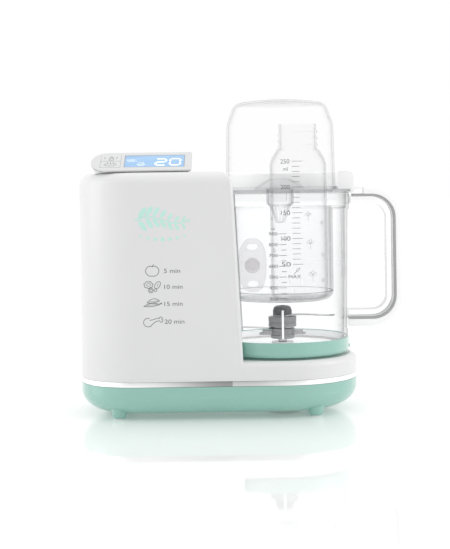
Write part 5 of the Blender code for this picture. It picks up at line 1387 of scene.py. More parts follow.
# ---- jar, handle and blade base ----
@dataclass
class BladeBase:
    """Mint base ring of the jar with its pale liner, its lugs and its seal."""

    machine: Machine
    wall: float = 1.4
    bottom: float = 55.1
    floor: float = 57.8
    floor_wall: float = 2.8
    seat: tuple[float, float] = (48.0, 52.0)
    hole: float = 7.0

    def build(self) -> None:
        """Makes the ring, its liner, lugs and seal."""
        low, high = self.machine.layout.box("collar")
        radius, bottom, top = high[0], self.bottom, high[2]
        inner = radius - self.wall
        floor_top = self.floor + self.floor_wall
        profile = filleted([
            (self.hole, self.floor), (self.seat[0], self.floor), (self.seat[0], low[2], 0.5),
            (self.seat[1], low[2], 0.5), (self.seat[1], self.floor), (inner, self.floor, 0.5),
            (inner, bottom),
            (radius - 1.0, bottom, 0.5), (radius, bottom + 2.5, 2.5), (radius, top, 0.9), (inner, top, 0.3),
            (inner, floor_top), (self.hole, floor_top),
        ], True)
        shell = Shell().grid(turned(profile, 128), True, True)
        self.machine.piece("blade_base_ring", shell, Finish.MINT, "blade_base", "mint", ["collar"])
        liner = filleted([
            (self.hole + 1, floor_top + 0.1), (inner - 0.35, floor_top + 0.1), (inner - 0.35, top - 0.6),
            (inner - 0.1, top - 0.6), (inner - 0.1, floor_top + 0.05), (self.hole + 1, floor_top + 0.05),
        ], True)
        white = Shell().grid(turned(liner, 96), True, True)
        # painted light: the liner's emission makes the shadowed floor inside the jar foot read pale
        self.machine.piece("blade_base_liner", white, Finish.LINER, "blade_base", "mint")
        grips = Shell()
        for turn in (-4.0, 176.0):
            lug = box_rings((radius - 1.2, -4.0, bottom + 3.0), (radius + 0.7, 4.0, bottom + 6.0), 0.8)
            grips.loft(placed(lug, about_z(turn), (0, 0, 0)))
        self.machine.piece("blade_base_lugs", grips, Finish.MINT, "blade_base", "mint", bevel=0.3)
        low, high = self.machine.layout.box("jar_gasket")
        ring = filleted(
            [(55.0, low[2], 0.3), (60.0, low[2], 0.3), (60.0, high[2], 0.3), (55.0, high[2], 0.3)], True, 2,
        )
        self.machine.piece(
            "jar_seal", Shell().grid(turned(ring, 96), True, True), Finish.SILICONE, "blade_base",
            "silicone", ["jar_gasket"],
        )


@dataclass
class Cutter:
    """Hub in steps with wings, and two curved blades."""

    machine: Machine
    bore: float = 4.3
    width: float = 13.0
    bend: float = 7.0
    sleeve: tuple = (
        (0, 66.5), (11.5, 66.5, 0.6), (11.5, 69.4), (10.6, 70.4), (10.6, 74.8), (11.5, 75.4),
        (11.5, 76.1), (0, 76.1),
    )
    hub: tuple = (
        (0, 77.9), (13.4, 77.9, 0.5), (13.4, 81.0, 0.4), (12.6, 81.8, 0.3), (13.4, 82.6, 0.4),
        (13.4, 87.3, 0.6), (0, 87.3),
    )
    cap: tuple = (
        (0, 89.1), (9.1, 89.1), (9.1, 93.0, 0.8), (8.0, 96.2, 1.6), (5.5, 97.6, 1.0), (3.0, 97.6, 0.3),
        (2.6, 96.8), (0, 96.8),
    )

    def build(self) -> None:
        """Makes the hub's parts and both blades."""
        for name, finish, corners in (
            ("hub_sleeve", Finish.HUB_LIGHT, self.sleeve),
            ("blade_hub", Finish.HUB_LIGHT, self.hub),
            ("hub_cap", Finish.HUB, self.cap),
        ):
            shell = Shell().grid(turned(filleted(corners), 64), True)
            self.machine.piece(f"{name}_turned", shell, finish, "cutter", "dark_plastic", [name])
        wings = Shell()
        for turn in (0, 180):
            for reach, low, high in ((22.5, 69.9, 72.0), (19.5, 72.0, 74.3)):
                block = box_rings((9.0, -4.4, low), (reach, 4.4, high), 2.6)
                wings.loft(placed(block, about_z(turn), (0, 0, 0)))
        self.machine.piece("hub_wings", wings, Finish.HUB_PALE, "cutter", "dark_plastic", bevel=0.4)
        # painted highlight: a thin pale strip with emission down the hub's front, where a highlight falls
        pin = box_rings((-1.0, -14.1, 66.6), (1.0, -12.9, 94.0), 0.4)
        self.machine.piece("hub_pin", Shell().loft(pin), Finish.LINER, "cutter", "steel", bevel=0.2)
        self.blade("blade_upper", 88.2, 50.5, 0.0, 0.9)
        self.blade("blade_lower", 77.0, 42.0, 180.0, -0.8)

    def blade(self, name: str, z: float, reach: float, heading: float, lift: float) -> None:
        """Makes one blade: a section with a ground edge, which bends and waves on its way out.

        Args:
            name: the CAD node that it stands for.
            z: its height at the hub.
            reach: how far its tip is from the axis.
            heading: the way that it points, in degrees about the axis.
            lift: how high it waves.
        """
        share = np.linspace(0.0, 1.0, 48)[:, None]
        x = share * reach
        front = self.bend * share**2 + self.width / 2 * (1 - 0.5 * share**2)
        back = front - self.width * (1 - 0.55 * share**2) + 0.35 * np.sin(share * 34) * share
        wave = z + lift * np.sin(share * math.pi * 1.6)
        half = 0.6
        across = [(1.0, 0.0), (0.72, half), (0.0, half), (0.0, -half), (0.72, -half)]
        ring = [np.concatenate([x, back + (front - back) * along, wave + up], 1) for along, up in across]
        shell = Shell().loft(placed(np.stack(ring, 1), about_z(heading), (0, 0, 0)))
        edges = [(self.bore, z - half), (9.1, z - half, 0.2), (9.1, z + half, 0.2), (self.bore, z + half)]
        disc = filleted(edges, True, 2)
        shell.grid(turned(disc, 48), True, True)
        self.machine.piece(f"{name}_ground", shell, Finish.STEEL, "cutter", "steel", [name])


@dataclass
class Jar:
    """Clear jar with its rim, flange, ribs and printed scale."""

    machine: Machine
    wall: float = 2.8
    foot: float = 61.4
    flange: float = 62.8
    low_radius: float = 62.0
    top_radius: float = 63.9
    rim: float = 65.5
    pitch: float = 9.85
    first: tuple[int, float] = (300, 109.3)

    def radius(self, z: np.ndarray) -> np.ndarray:
        """Outer radius of the jar's wall at a height."""
        return self.low_radius + (self.top_radius - self.low_radius) * (z - 75.0) / 115.6

    def build(self) -> None:
        """Makes the jar, its inner ribs and its scale."""
        low, high = self.machine.layout.box("jar")
        bottom, top = low[2], high[2]
        inner_low, inner_top = self.low_radius - self.wall, self.top_radius - self.wall
        inner_rim = self.rim - 3.0
        profile = filleted([
            (self.foot - self.wall, bottom, 0.5), (self.foot, bottom, 0.5), (self.foot, 69.0, 0.3),
            (self.flange, 69.0, 0.5), (self.flange, 75.0, 0.8), (self.low_radius, 75.4, 0.4),
            (self.top_radius, 188.6, 0.8), (self.rim, 190.6, 0.8), (self.rim, 194.6, 0.3),
            (self.rim - 0.5, 195.0, 0.2), (self.rim, 195.6, 0.3), (self.rim, top, 0.8),
            (inner_rim, top, 0.8), (inner_rim, 191.0, 0.6), (inner_top, 190.0, 0.6),
            (inner_low, 75.0, 0.5),
        ], True, 4)
        shell = Shell().grid(turned(profile, 144), True, True)
        self.machine.piece("jar_body", shell, Finish.CLEAR, "jar", "clear", ["jar"])
        ribs = Shell()
        for turn in (0.0, 180.0):
            block = box_rings((inner_low - 1.6, -3.6, 124.0), (inner_top - 0.4, 3.6, 189.0), 0.7)
            ribs.loft(placed(block, about_z(turn), (0, 0, 0)))
        self.machine.piece("jar_ribs", ribs, Finish.CLEAR, "jar", "clear", bevel=0.3)
        self.scale()

    def scale(self) -> None:
        """Prints the scale on the jar's front, with the fill mark beside it."""
        marks = Print()
        start, z = self.first
        for number in range(13):
            height = z + self.pitch / 2 * number
            long = number % 2 == 0
            marks.bar((-3.9 if long else -1.6, 3.0), (height - 0.2, height + 0.2))
            if long:
                marks.text(str(start + 50 * number), (-13.0, height), 2.9, 8.0)
        marks.text("ml", (-11.0, z + self.pitch * 6 + 4.6), 2.4, 3.4)
        marks.text("MAX", (4.6, 129.2), 2.9, 11.6)
        spoon = arc((0, 0), 1.0, 0, 340, 17) * (2.1, 0.85) @ about_z(48)[:2, :2].T + (13.4, 135.4)
        marks.line(spoon, 0.35, True)
        marks.line(np.array([(12.0, 133.9), (9.6, 131.4)]), 0.4)
        place = on_drum(lambda v: self.radius(v) + 0.06, (0.0, 0.0))
        self.machine.piece("jar_scale", marks.laid(place), Finish.INK_SCALE, "jar", "clear", flat=True)


@dataclass
class Handle:
    """White grip with painted shade as a grey strip in its groove, round a clear frame."""

    machine: Machine
    corner: float = 30.0
    cover: float = 7.3
    frame: float = 9.0
    half_width: float = 12.0
    tab_end: float = 79.1
    groove_start: float = 68.5
    frame_start: float = 66.1
    arm: float = 63.0

    def path(self, inset: float, top_start: float) -> np.ndarray:
        """The handle's line in x and z.

        Args:
            inset: how deep it lies under the handle's outside.
            top_start: x where its upper arm starts.

        Returns:
            Points from the upper arm round to the lower one.
        """
        radius = self.corner - inset
        low, high = self.bounds
        centre = high[0] - self.corner
        line = np.concatenate([
            [(top_start, high[2] - inset)], [((top_start + centre) / 2, high[2] - inset)],
            arc((centre, high[2] - self.corner), radius, 90, 0, 20),
            arc((centre, low[2] + self.corner), radius, 0, -90, 20),
            [((self.arm + centre) / 2, low[2] + inset)], [(self.arm + 0.5, low[2] + inset)],
        ])
        return np.stack([line[:, 0], np.zeros(len(line)), line[:, 1]], -1)

    def build(self) -> None:
        """Makes the grip, its groove strip and the clear frame."""
        self.bounds = self.machine.layout.box("handle_cover")
        half, thick = self.half_width, self.cover / 2
        section = filleted(
            [(-thick, -half, 0.8), (thick, -half, 3.4), (thick, half, 3.4), (-thick, half, 0.8)], True, 7,
        )
        path = self.path(thick, self.tab_end)
        grip = Shell().loft(carried(path, section * (-1, 1)))
        # painted light: the grip's finish has emission that brightens it
        self.machine.piece("handle_grip", grip, Finish.DUCT, "jar", "white", ["handle_cover"])
        # painted shade: a grey strip down the groove, where the groove is in shadow
        strip = filleted(
            [(-1.2, -11.2, 0.3), (1.2, -11.2, 0.3), (1.2, 11.2, 0.3), (-1.2, 11.2, 0.3)], True, 2,
        )
        groove = Shell().loft(carried(self.path(self.cover + 0.9, self.groove_start), strip))
        self.machine.piece("handle_groove", groove, Finish.GROOVE, "jar", "white")
        depth = self.cover + 2.2 + (self.frame - 2.2) / 2
        thick = (self.frame - 2.2) / 2
        section = filleted(
            [(-thick, -10, 1.2), (thick, -10, 1.2), (thick, 10, 1.2), (-thick, 10, 1.2)], True, 4,
        )
        frame = Shell().loft(carried(self.path(depth, self.frame_start), section))
        self.machine.piece("handle_clear_frame", frame, Finish.FRAME, "jar", "clear", ["handle_frame"])


# ---- basket and what stands in it ----
@dataclass
class Basket:
    """Clear steam basket with slots round its foot and holes in its floor."""

    machine: Machine
    radius: float = 49.5
    wall: float = 2.0
    corner: float = 8.0
    floor: float = 103.5
    steps: int = 240
    slots: int = 20
    hole: float = 2.5
    rings: tuple = ((15.0, 6), (30.0, 10))

    def build(self) -> None:
        """Makes the basket as a wall between two turned grids, with its slots and holes left open."""
        high = self.machine.layout.box("basket")[1]
        top = high[2]
        middle = self.wall / 2
        reach = self.radius - middle
        floor_r = np.linspace(self.hole + 0.1, reach - self.corner, 40)
        line = np.concatenate([
            np.stack([floor_r, np.full_like(floor_r, self.floor + middle)], -1),
            arc((reach - self.corner, self.floor + middle + self.corner), self.corner, -90, 0, 8)[1:],
            np.stack([np.full(6, reach), np.array([111.9, 112.4, 114.0, 117.0, 118.4, 140.0])], -1),
            filleted([(reach, 160.0), (reach, top - middle, 1.5), (high[0], top - middle)], False, 4),
        ])
        outer, inner = turned(offset(line, middle), self.steps), turned(offset(line, -middle), self.steps)
        share = self.steps // self.slots
        column = np.arange(self.steps) % share
        height = (line[:-1, 1] + line[1:, 1]) / 2
        upright = np.abs(line[1:, 0] - line[:-1, 0]) < 0.05
        slot = (np.abs(column - share // 2) <= 1)[:, None] & (
            (height > 112.4) & (height < 118.4) & upright
        )[None]
        keep = ~slot
        cells = (outer[:, :-1] + np.roll(outer, -1, 0)[:, 1:]) / 2
        for ring, count in self.rings:
            for turn in np.arange(count) * math.tau / count:
                centre = np.array([ring * math.cos(turn), ring * math.sin(turn)])
                away = np.linalg.norm(cells[..., :2] - centre, axis=-1)
                keep &= ~((away < self.hole) & (cells[..., 2] < self.floor + 2))
                for face in (outer, inner):
                    off = face[..., :2] - centre
                    size = np.linalg.norm(off, axis=-1, keepdims=True)
                    near = (np.abs(size - self.hole) < 0.62) & (face[..., 2:] < self.floor + 3)
                    face[..., :2] = np.where(
                        near, centre + off / np.maximum(size, 1e-6) * self.hole, face[..., :2],
                    )
        shell = Shell().walls(outer, inner, keep, True)
        self.machine.piece("steam_basket", shell, Finish.CLEAR, "basket", "clear", ["basket"])


@dataclass
class Bottle:
    """Clear feeding bottle with a screw thread, a printed scale and sprigs."""

    machine: Machine
    wall: float = 1.3
    thread: float = 1.4
    pitch: float = 6.0
    neck: float = 18.0
    scale_low: float = 139.0
    scale_step: float = 4.8
    sprigs: tuple = (
        (8, 184, 1.0), (10, 158, 1.1), (12, 128, 1.3), (24, 176, 0.9), (26, 146, 1.1), (25, 122, 1.0),
        (36, 160, 1.0), (-30, 150, 1.0), (-34, 180, 1.0), (-38, 128, 1.2),
    )

    def build(self) -> None:
        """Makes the bottle and its prints."""
        low, high = self.machine.layout.box("bottle")
        at = (low + high)[:2] / 2
        radius = (high[0] - low[0]) / 2
        foot, top = low[2], high[2]
        line = filleted([
            (0, foot + 1.6), (radius - 9, foot + 0.2, 4), (radius - 1.5, foot, 3), (radius, foot + 5, 4),
            (radius, 233.0, 6), (radius - 2.4, 239.5, 5), (
                self.neck + 2.5, 246.0, 3,
            ), (self.neck, 248.6, 1.5),
            (self.neck, 249.2),
        ], False, 8)
        rise = np.linspace(249.6, top - 1.2, 60)
        end = filleted(
            [(self.neck, top - 1.0), (self.neck, top, 0.6), (self.neck - self.wall, top)], False, 4,
        )
        line = np.concatenate([line, np.stack([np.full_like(rise, self.neck), rise], -1), end])
        turn = np.linspace(0.0, math.tau, 96, endpoint=False)[:, None]
        z = line[:, 1][None]
        along = (z - 251.5) / self.pitch - turn / math.tau
        crest = np.exp(-((along - np.round(along)) * self.pitch / 0.85) ** 2)
        held = (z > 250.6) & (z < 264.5) & (np.abs(line[:, 0][None] - self.neck) < 0.01)
        r = line[:, 0][None] + self.thread * crest * held
        collar = 1.2 * np.exp(-(((z - 249.8) / 0.7) ** 2)) * (line[:, 0][None] <= self.neck + 0.3)
        r = r + collar
        outer = np.stack([at[0] + r * np.cos(turn), at[1] + r * np.sin(turn), z + 0 * turn], -1)
        inset = offset(line, -self.wall)
        inset[:, 0] = np.maximum(inset[:, 0], 0.0)
        inset[0, 0] = 0.0
        inset[-6:, 0] = self.neck - self.wall
        inset[-6:, 1] = np.linspace(inset[-7, 1], line[-1, 1] - 0.2, 6)
        inner = turned(inset, 96, at)
        shell = Shell().walls(outer, inner, np.ones((96, len(line) - 1), bool), True)
        self.machine.piece("bottle_body", shell, Finish.BOTTLE, "basket", "bottle_clear", ["bottle"], 60.0)
        self.prints(at, radius)

    def prints(self, at: np.ndarray, radius: float) -> None:
        """Prints the scale and the sprigs."""
        marks = Print()
        for number in range(21):
            height = self.scale_low + self.scale_step * number
            long = number % 5 == 0
            marks.bar((-6.9, 2.6 if long else 0.4), (height - 0.2, height + 0.2))
            if long:
                marks.text(str(50 + 10 * number), (-18.6, height), 4.2, 9.6)
        marks.text("ml", (-15.6, self.scale_low + 89.0), 3.4, 4.6)
        place = on_drum(lambda v: radius + 0.06 + 0 * v, at)
        self.machine.piece(
            "bottle_scale", marks.laid(place), Finish.INK_GREY, "basket", "bottle_clear", flat=True,
        )
        sprigs = Print()
        for u, v, size in self.sprigs:
            self.sprig(sprigs, u, v, size)
        self.machine.piece(
            "bottle_sprigs", sprigs.laid(place), Finish.INK_PALE, "basket", "bottle_clear", flat=True,
        )

    def sprig(self, marks: Print, u: float, v: float, size: float) -> None:
        """Three round leaves on a stem."""
        turn = np.linspace(0, math.tau, 20, endpoint=False)
        for lean in (150, 90, 30):
            along, across = 2.0 * size * (1 + 0.8 * np.cos(turn)), 1.1 * size * np.sin(turn)
            marks.line(leaning(along, across, lean) + (u, v), 0.3, True)
        marks.line(np.array([(u, v), (u + 0.2, v - 2.5 * size), (u - 0.3, v - 5.0 * size)]), 0.3)


@dataclass
class Soother:
    """Soother: a curved shield with two air holes, a ringed button and the teat behind."""

    machine: Machine
    dish: float = 3.0
    thickness: float = 2.2

    def build(self) -> None:
        """Makes the shield, button and teat."""
        low, high = self.machine.layout.box("soother_shield")
        middle = (low + high) / 2
        half = (high - low) / 2
        around, rings = 192, 48
        turn = np.linspace(0, math.tau, around, endpoint=False)[:, None]
        share = np.linspace(0.02, 1.0, rings)[None]
        square = (np.abs(np.cos(turn)) ** 2.6 + np.abs(np.sin(turn)) ** 2.6) ** (-1 / 2.6)
        x = half[0] * square * np.cos(turn) * share
        z = half[2] * square * np.sin(turn) * share
        round_off = np.sqrt(np.clip(1 - np.clip((share - 0.9) / 0.1, 0, 1) ** 2, 0, 1)) + 0 * turn
        bow = -self.dish * (1 - (z / half[2]) ** 2 * 0.9) + self.dish
        y = 2.0 - self.dish + bow
        faces = []
        for side in (-1, 1):
            skin = y + side * self.thickness / 2 * round_off
            faces.append(np.stack([middle[0] + x, skin, middle[2] + z], -1))
        across = (x[:, 1:] + x[:, :-1]) / 2
        upward = (z[:, 1:] + z[:, :-1]) / 2
        hole = (across / 5.2) ** 2 + ((np.abs(upward) - 0.68 * half[2]) / 3.0) ** 2 < 1
        shell = Shell().walls(faces[0], faces[1], ~hole, True)
        self.machine.piece("shield_dish", shell, Finish.SHIELD, "basket", "white", ["soother_shield"], 50.0)
        button = filleted([
            (0, 0), (2.6, 0, 0.5), (3.4, 0.9, 0.4), (4.4, 0.2, 0.6), (6.4, 0.4, 1.4), (7.4, 3.0, 1.0),
            (7.4, 6.0), (0, 6.0),
        ], False, 4)
        front = lying(turned(button, 48), (middle[0], low[1] + 0.2, middle[2]))
        self.machine.piece("shield_button", Shell().grid(front, True), Finish.SHIELD, "basket", "white")
        low, high = self.machine.layout.box("soother_teat")
        length = high[1] - low[1]
        teat = filleted([
            (0, 0), (7.8, 0, 0.6), (4.2, 3.0, 1.5), (4.4, length - 8, 2), (6.0, length - 5, 2.4),
            (5.0, length - 1, 2.0), (0, length),
        ], False, 6)
        back = lying(turned(teat, 48) * (1, 0.85, 1), (middle[0], low[1], middle[2]))
        self.machine.piece(
            "teat_turned", Shell().grid(back, True), Finish.TEAT, "basket", "silicone", ["soother_teat"],
        )


# ---- lid and dome ----
@dataclass
class Lid:
    """Clear lid ring with the white steam duct behind it, the nozzle and its bell."""

    machine: Machine
    opening: float = 50.0
    plate: float = 66.5
    duct_outer: float = 70.5
    duct_inner: float = 55.2
    angles: tuple[float, float] = (-9.0, 198.0)
    nozzle_y: float = 32.0
    shelf: float = 19.0

    def build(self) -> None:
        """Makes the ring, seal, duct, nozzle and bell."""
        low, high = self.machine.layout.box("lid_ring")
        bottom, lip = low[2], high[2]
        top = lip - 3.0
        profile = filleted([
            (self.opening, bottom, 0.4), (self.plate, bottom, 0.5), (self.plate, top, 0.8),
            (54.9, top, 0.3), (54.9, lip, 0.4), (53.5, lip, 0.4), (53.5, top, 0.3),
            (self.opening, top, 0.6),
        ], True, 4)
        ring = Shell().grid(turned(profile, 128), True, True)
        side = math.degrees(math.asin(self.shelf / (self.opening + 1)))
        outline = arc((0, 0), self.opening + 1, side, 180 - side, 40)
        ring.loft(np.stack([at_height(outline, z) for z in (bottom + 0.3, top - 0.3)]))
        self.machine.piece("lid_plate", ring, Finish.CLEAR, "lid", "clear", ["lid_ring"])
        low, high = self.machine.layout.box("lid_gasket")
        seal = filleted(
            [(62.9, low[2], 0.4), (65.1, low[2], 0.4), (65.1, high[2], 0.4), (62.9, high[2], 0.4)], True, 2,
        )
        self.machine.piece(
            "lid_seal", Shell().grid(turned(seal, 112), True, True), Finish.CLEAR, "lid", "silicone",
            ["lid_gasket"],
        )
        self.duct(top + 0.3)
        self.nozzle()

    def duct(self, foot: float) -> None:
        """Makes the white duct with its rounded edges, and the tab that points to the handle."""
        low, high = self.machine.layout.box("steam_duct")
        top = high[2]
        radius = self.duct_outer
        inner = self.plate + 0.6
        section = filleted([
            (radius, low[2], 0.6), (radius, top, 6.5), (self.duct_inner, top, 1.6), (
                self.duct_inner, foot, 0.3,
            ),
            (inner, foot), (inner, low[2], 0.3),
        ], True, 6)
        turn = np.radians(np.linspace(self.angles[0], self.angles[1], 110))[:, None]
        r, z = section[:, 0][None], section[:, 1][None]
        rings = np.stack([r * np.cos(turn), r * np.sin(turn), z + 0 * turn], -1)
        shell = Shell().loft(rings)
        # painted light: the duct's finish has emission that brightens it
        self.machine.piece("duct_shell", shell, Finish.DUCT, "lid", "white", ["steam_duct"], bevel=1.2)
        tab = np.stack(
            [at_height(rounded((inner - 2.0, 78.5), (-11, 11), 2.5), z) for z in (foot + 0.3, foot + 2.2)]
        )
        self.machine.piece("lid_tab", Shell().loft(tab), Finish.DUCT, "lid", "white", bevel=0.5)

    def nozzle(self) -> None:
        """Makes the cup with its slotted cone, the feed channel and the bell over them."""
        at = (0.0, self.nozzle_y)
        line = filleted([
            (2.9, 176.5), (4.5, 176.6, 0.3), (10.4, 192.6, 1.5), (13.4, 195.0, 1.2), (13.4, 209.5, 0.6),
            (16.4, 209.8),
        ], False, 5)
        line = np.concatenate([line[:2], np.linspace(line[2], line[4], 12)[1:-1], line[4:]])
        outer, inner = turned(line, 60, at), turned(line - (1.3, -0.4), 60, at)
        height = (line[1:, 1] + line[:-1, 1]) / 2
        column = np.arange(60) % 10
        keep = ~((column < 4)[:, None] & ((height > 178.5) & (height < 190.0))[None])
        shell = Shell().walls(outer, inner, keep, True)
        shell.loft(box_rings((-7, self.nozzle_y + 12.5, 197.0), (7, 60.5, 205.6), 1.0))
        self.machine.piece("nozzle_cone", shell, Finish.THICK, "lid", "clear", ["steam_nozzle"])
        low, high = self.machine.layout.box("steam_hood")
        middle, half = (low + high) / 2, (high - low) / 2
        share = np.linspace(0, 1, 26)[:, None]
        turn = np.linspace(0, math.tau, 72, endpoint=False)[None]
        spread = 1.0 - 0.60 * np.sin(share * math.pi / 2) ** 0.9
        spread = spread * np.sqrt(np.clip(1 - np.clip((share - 0.75) / 0.25, 0, 1) ** 2.4, 0, 1)) + 0.004
        rise = low[2] + (high[2] - low[2]) * np.sin(share * math.pi / 2) ** 0.8
        x = middle[0] + half[0] * spread * np.cos(turn)
        y = middle[1] + half[1] * (0.4 + 0.6 * spread) * np.sin(turn) * np.minimum(spread * 8, 1)
        bell = np.stack([x, y, rise + 0 * turn], -1)
        inner = bell * (0.93, 1, 1) + (0, 0, -0.9)
        inner[..., 1] = middle[1] + (inner[..., 1] - middle[1]) * 0.86
        wall = Shell().walls(
            bell.transpose(1, 0, 2), inner.transpose(1, 0, 2), np.ones((72, 25), bool), True,
        )
        self.machine.piece("splash_bell", wall, Finish.CLEAR, "lid", "clear", ["steam_hood"], 60.0)


@dataclass
class Dome:
    """Tall thin dome with a flattened crown and a rolled foot."""

    machine: Machine
    shoulder_radius: float = 51.2
    wall: float = 1.6
    shoulder: float = 275.0
    steps: int = 144

    def build(self) -> None:
        """Makes the dome as a turned wall."""
        low, high = self.machine.layout.box("dome")
        foot, top = low[2], high[2]
        radius = high[0]
        corners = [
            (radius - 0.6, foot, 0.3), (radius, foot + 0.9, 0.6), (radius - 0.5, foot + 3.0, 1.0),
            (self.shoulder_radius, self.shoulder - 4, 14.0), (44.0, top - 3.2, 10.0),
            (22.0, top - 0.4, 30.0),
        ]
        outside = filleted([*corners, (0, top)], False, 12)
        inside = offset(outside, -self.wall)
        inside[:, 0] = np.maximum(inside[:, 0], 0.0)
        inside[-1, 0] = 0.0
        inside[0] = (radius - self.wall, foot)
        solid = np.ones((self.steps, len(outside) - 1), bool)
        shell = Shell().walls(turned(outside, self.steps), turned(inside, self.steps), solid, True)
        self.machine.piece("dome_shell", shell, Finish.DOME, "dome", "clear", ["dome"], 60.0)


# ---- back of the machine ----
@dataclass
class Back:
    """Rear cover with louvres, cross-head screws and the stepped cord gland."""

    machine: Machine
    rows: int = 9
    louvre: float = 2.4

    def build(self) -> None:
        """Makes the cover, screws and gland."""
        low, high = self.machine.layout.box("rear_cover")
        back = high[1]
        x = np.unique(np.concatenate([np.linspace(low[0], high[0], 5), [low[0] + 14.0, high[0] - 14.0]]))
        slots = low[2] + 34.0 + 8.0 * np.arange(self.rows)
        z = np.unique(np.concatenate([[low[2], high[2]], slots, slots + self.louvre]))
        face = np.stack(np.meshgrid(x, z, indexing="ij"), -1)
        outer = np.stack([face[..., 0], np.full(face.shape[:2], back), face[..., 1]], -1)
        inner = outer - (0.0, 2.1, 0.0)
        middle = (face[:-1, :-1] + face[1:, 1:]) / 2
        slot = np.any(np.abs(middle[..., 1][..., None] - slots - self.louvre / 2) < 0.5, axis=-1)
        slot &= (middle[..., 0] > low[0] + 14.0) & (middle[..., 0] < high[0] - 14.0)
        cover = Shell().walls(outer, inner, ~slot, False)
        self.machine.piece("rear_panel", cover, Finish.WHITE, "base", "white", ["rear_cover"], bevel=0.35)
        shade = box_rings(
            (low[0] + 10, back - 3.6, low[2] + 28), (high[0] - 10, back - 3.0, high[2] - 28), 0.2,
        )
        self.machine.piece("louvre_shade", Shell().loft(shade), Finish.DARK, "base", "dark_plastic")
        heads, marks = Shell(), Print()
        for number in range(1, 5):
            low, high = self.machine.layout.box(f"rear_screw_{number}")
            middle = (low + high) / 2
            grid = turned(filleted([(0, 0), (2.6, 0.05, 0.6), (3.0, 0.8), (0, 0.8)]), 32)
            heads.grid(lying(grid * (1, 1, -1), (middle[0], high[1] + 0.08, middle[2])), True)
            for turn in (20, 110):
                cross = rounded((-1.8, 1.8), (-0.3, 0.3), 0.25, 2) @ about_z(turn)[:2, :2].T
                marks.patch(cross + (-middle[0], middle[2]))
        nodes = [f"rear_screw_{number}" for number in range(1, 5)]
        self.machine.piece("rear_screw_heads", heads, Finish.STEEL, "base", "steel", nodes)
        laid = marks.laid(lambda flat: np.stack([-flat[:, 0], np.full(len(flat), back), flat[:, 1]], -1))
        self.machine.piece("rear_screw_slots", laid, Finish.DARK, "base", "dark_plastic", flat=True)
        low, high = self.machine.layout.box("cord_gland")
        middle = (low + high) / 2
        corners = [(2.8, -4.0), (2.8, 0.0, 0.3), (4.2, 0.0, 0.8), (4.2, -2.6), (6.2, -2.8), (6.2, -4.0)]
        at = (middle[0], high[1], middle[2])
        gland = lying(turned(filleted(corners, True, 3), 48), at)
        self.machine.piece(
            "gland_ring", Shell().grid(gland, True, True), Finish.RUBBER, "base", "dark_plastic",
            ["cord_gland"],
        )
        seal = lying(turned(np.array([(0.0, -3.0), (2.9, -3.0), (2.9, -4.0), (0.0, -4.0)]), 32), at)
        self.machine.piece("gland_seal", Shell().grid(seal, True), Finish.DARK, "base", "dark_plastic")


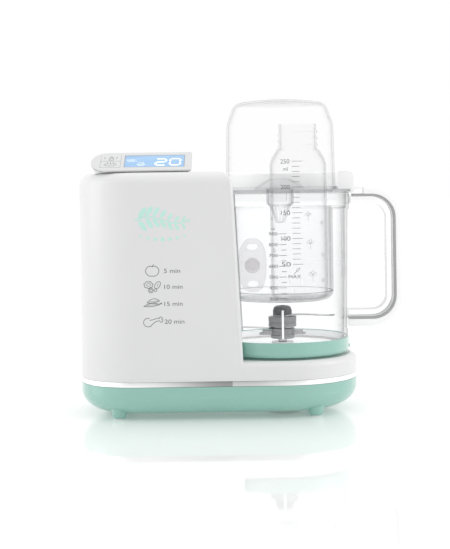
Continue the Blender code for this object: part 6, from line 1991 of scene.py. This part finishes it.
# ---- studio ----
@dataclass
class Studio:
    """Pale floor, soft surroundings, soft boxes and the camera."""

    camera_place: tuple[float, float, float] = (0.008, -1.195, 0.205)
    lens: float = 81.6
    shift: tuple[float, float] = (-0.0455, -0.1466)
    roll: float = 0.8
    floor_size: float = 60.0
    behind: Colour = (0.45, 0.45, 0.455)
    lamps: tuple = (
        ("soft_box_left", (-1.5, -0.1, 0.6), (-0.1, 0.0, 0.12), 0.9, 3.6),
        ("soft_box_right", (1.5, -0.3, 0.8), (0.1, 0.0, 0.1), 0.8, 4.6),
        ("soft_box_top", (0.0, 0.2, 1.6), (0.0, 0.0, 0.1), 1.0, 1.0),
    )

    def build(self) -> None:
        """Sets up everything that isn't the machine."""
        self.floor()
        self.world()
        for lamp in self.lamps:
            self.light(*lamp)
        self.camera()

    def floor(self) -> None:
        """Lays the pale glossy floor."""
        half = self.floor_size / 2
        mesh = bpy.data.meshes.new("floor")
        mesh.from_pydata(
            [(-half, -half, 0), (half, -half, 0), (half, half, 0), (-half, half, 0)], [], [(0, 1, 2, 3)],
        )
        material = bpy.data.materials.new("floor")
        graph = Graph(material)
        cloud = graph.noise(3.0)
        values = {
            "Base Color": graph.mix(cloud, (0.89, 0.89, 0.89), (0.91, 0.91, 0.91)),
            "Roughness": 0.04 + cloud * 0.01,
            "Emission Color": (1.0, 1.0, 1.0, 1.0),
            "Emission Strength": 0.12,
        }
        graph.finish(graph.node("ShaderNodeBsdfPrincipled", None, values))
        mesh.materials.append(material)
        floor = bpy.data.objects.new("floor", mesh)
        bpy.context.scene.collection.objects.link(floor)

    def world(self) -> None:
        """White all round, and greyer behind the camera, so that fronts and plated faces get some shape."""
        world = bpy.data.worlds.new("studio")
        graph = Graph(world)
        axes = graph.node(
            "ShaderNodeSeparateXYZ", None, {0: graph.node("ShaderNodeTexCoord").outputs["Generated"]},
        )
        ahead = Value(graph, axes.outputs["Y"]).ramp(-0.97, -0.65)
        colour = graph.mix(ahead, self.behind, (1.0, 1.0, 1.0))
        shade = graph.node("ShaderNodeBackground", None, {"Color": colour, "Strength": 1.0})
        graph.node("ShaderNodeOutputWorld", None, {"Surface": shade})
        bpy.context.scene.world = world
        bpy.context.scene.view_settings.view_transform = "Standard"
        bpy.context.scene.cycles.transparent_max_bounces = 48

    def light(
        self, name: str, place: Sequence[float], target: Sequence[float], size: float, power: float,
    ) -> None:
        """Adds one square soft box that faces a target.

        Args:
            name: its name.
            place: where it is.
            target: where it points.
            size: the length of its side.
            power: its power in watts.
        """
        data = bpy.data.lights.new(name, "AREA")
        data.size = size
        data.energy = power
        lamp = bpy.data.objects.new(name, data)
        lamp.location = place
        away = np.array(place) - np.array(target)
        flat = math.hypot(away[0], away[1])
        lamp.rotation_euler = (math.atan2(flat, away[2]), 0.0, math.atan2(away[0], -away[1]))
        bpy.context.scene.collection.objects.link(lamp)

    def camera(self) -> None:
        """Adds the camera, level, with its window shifted down to the machine."""
        data = bpy.data.cameras.new("camera")
        data.lens = self.lens
        data.shift_x, data.shift_y = self.shift
        camera = bpy.data.objects.new("camera", data)
        camera.location = self.camera_place
        camera.rotation_euler = (math.pi / 2, math.radians(self.roll), 0.0)
        bpy.context.scene.collection.objects.link(camera)
        bpy.context.scene.camera = camera


def dress(frame: dict) -> None:
    """Gives every CAD node the finish of its slot in the record."""
    for part in frame["record"]["subparts"]:
        data = frame["nodes"][part["node"]].data
        data.materials.clear()
        data.materials.append(SLOT_FINISH[part["material_slot"]].material())


def main() -> None:
    """Builds the looks."""
    logging.basicConfig(level=logging.INFO, format="%(message)s")
    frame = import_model()
    dress(frame)
    machine = Machine()
    low, high = machine.layout.box("base_tray")
    plan = Plan(left=low[0], half=high[1])
    parts = (
        (Base(machine), (plan,)), (
            Housing(machine), (plan,),
        ), (Display(machine), ()), (BladeBase(machine), ()),
        (Cutter(machine), ()), (Jar(machine), ()), (Handle(machine), ()), (Basket(machine), ()),
        (Bottle(machine), ()), (
            Soother(machine), (),
        ), (Lid(machine), ()), (Dome(machine), ()), (Back(machine), ()),
    )
    for part, extra in parts:
        known = machine.count
        part.build(*extra)
        LOG.info("%s: %d pieces", type(part).__name__, machine.count - known)
    Studio().build()


if __name__ == "__main__":
    main()
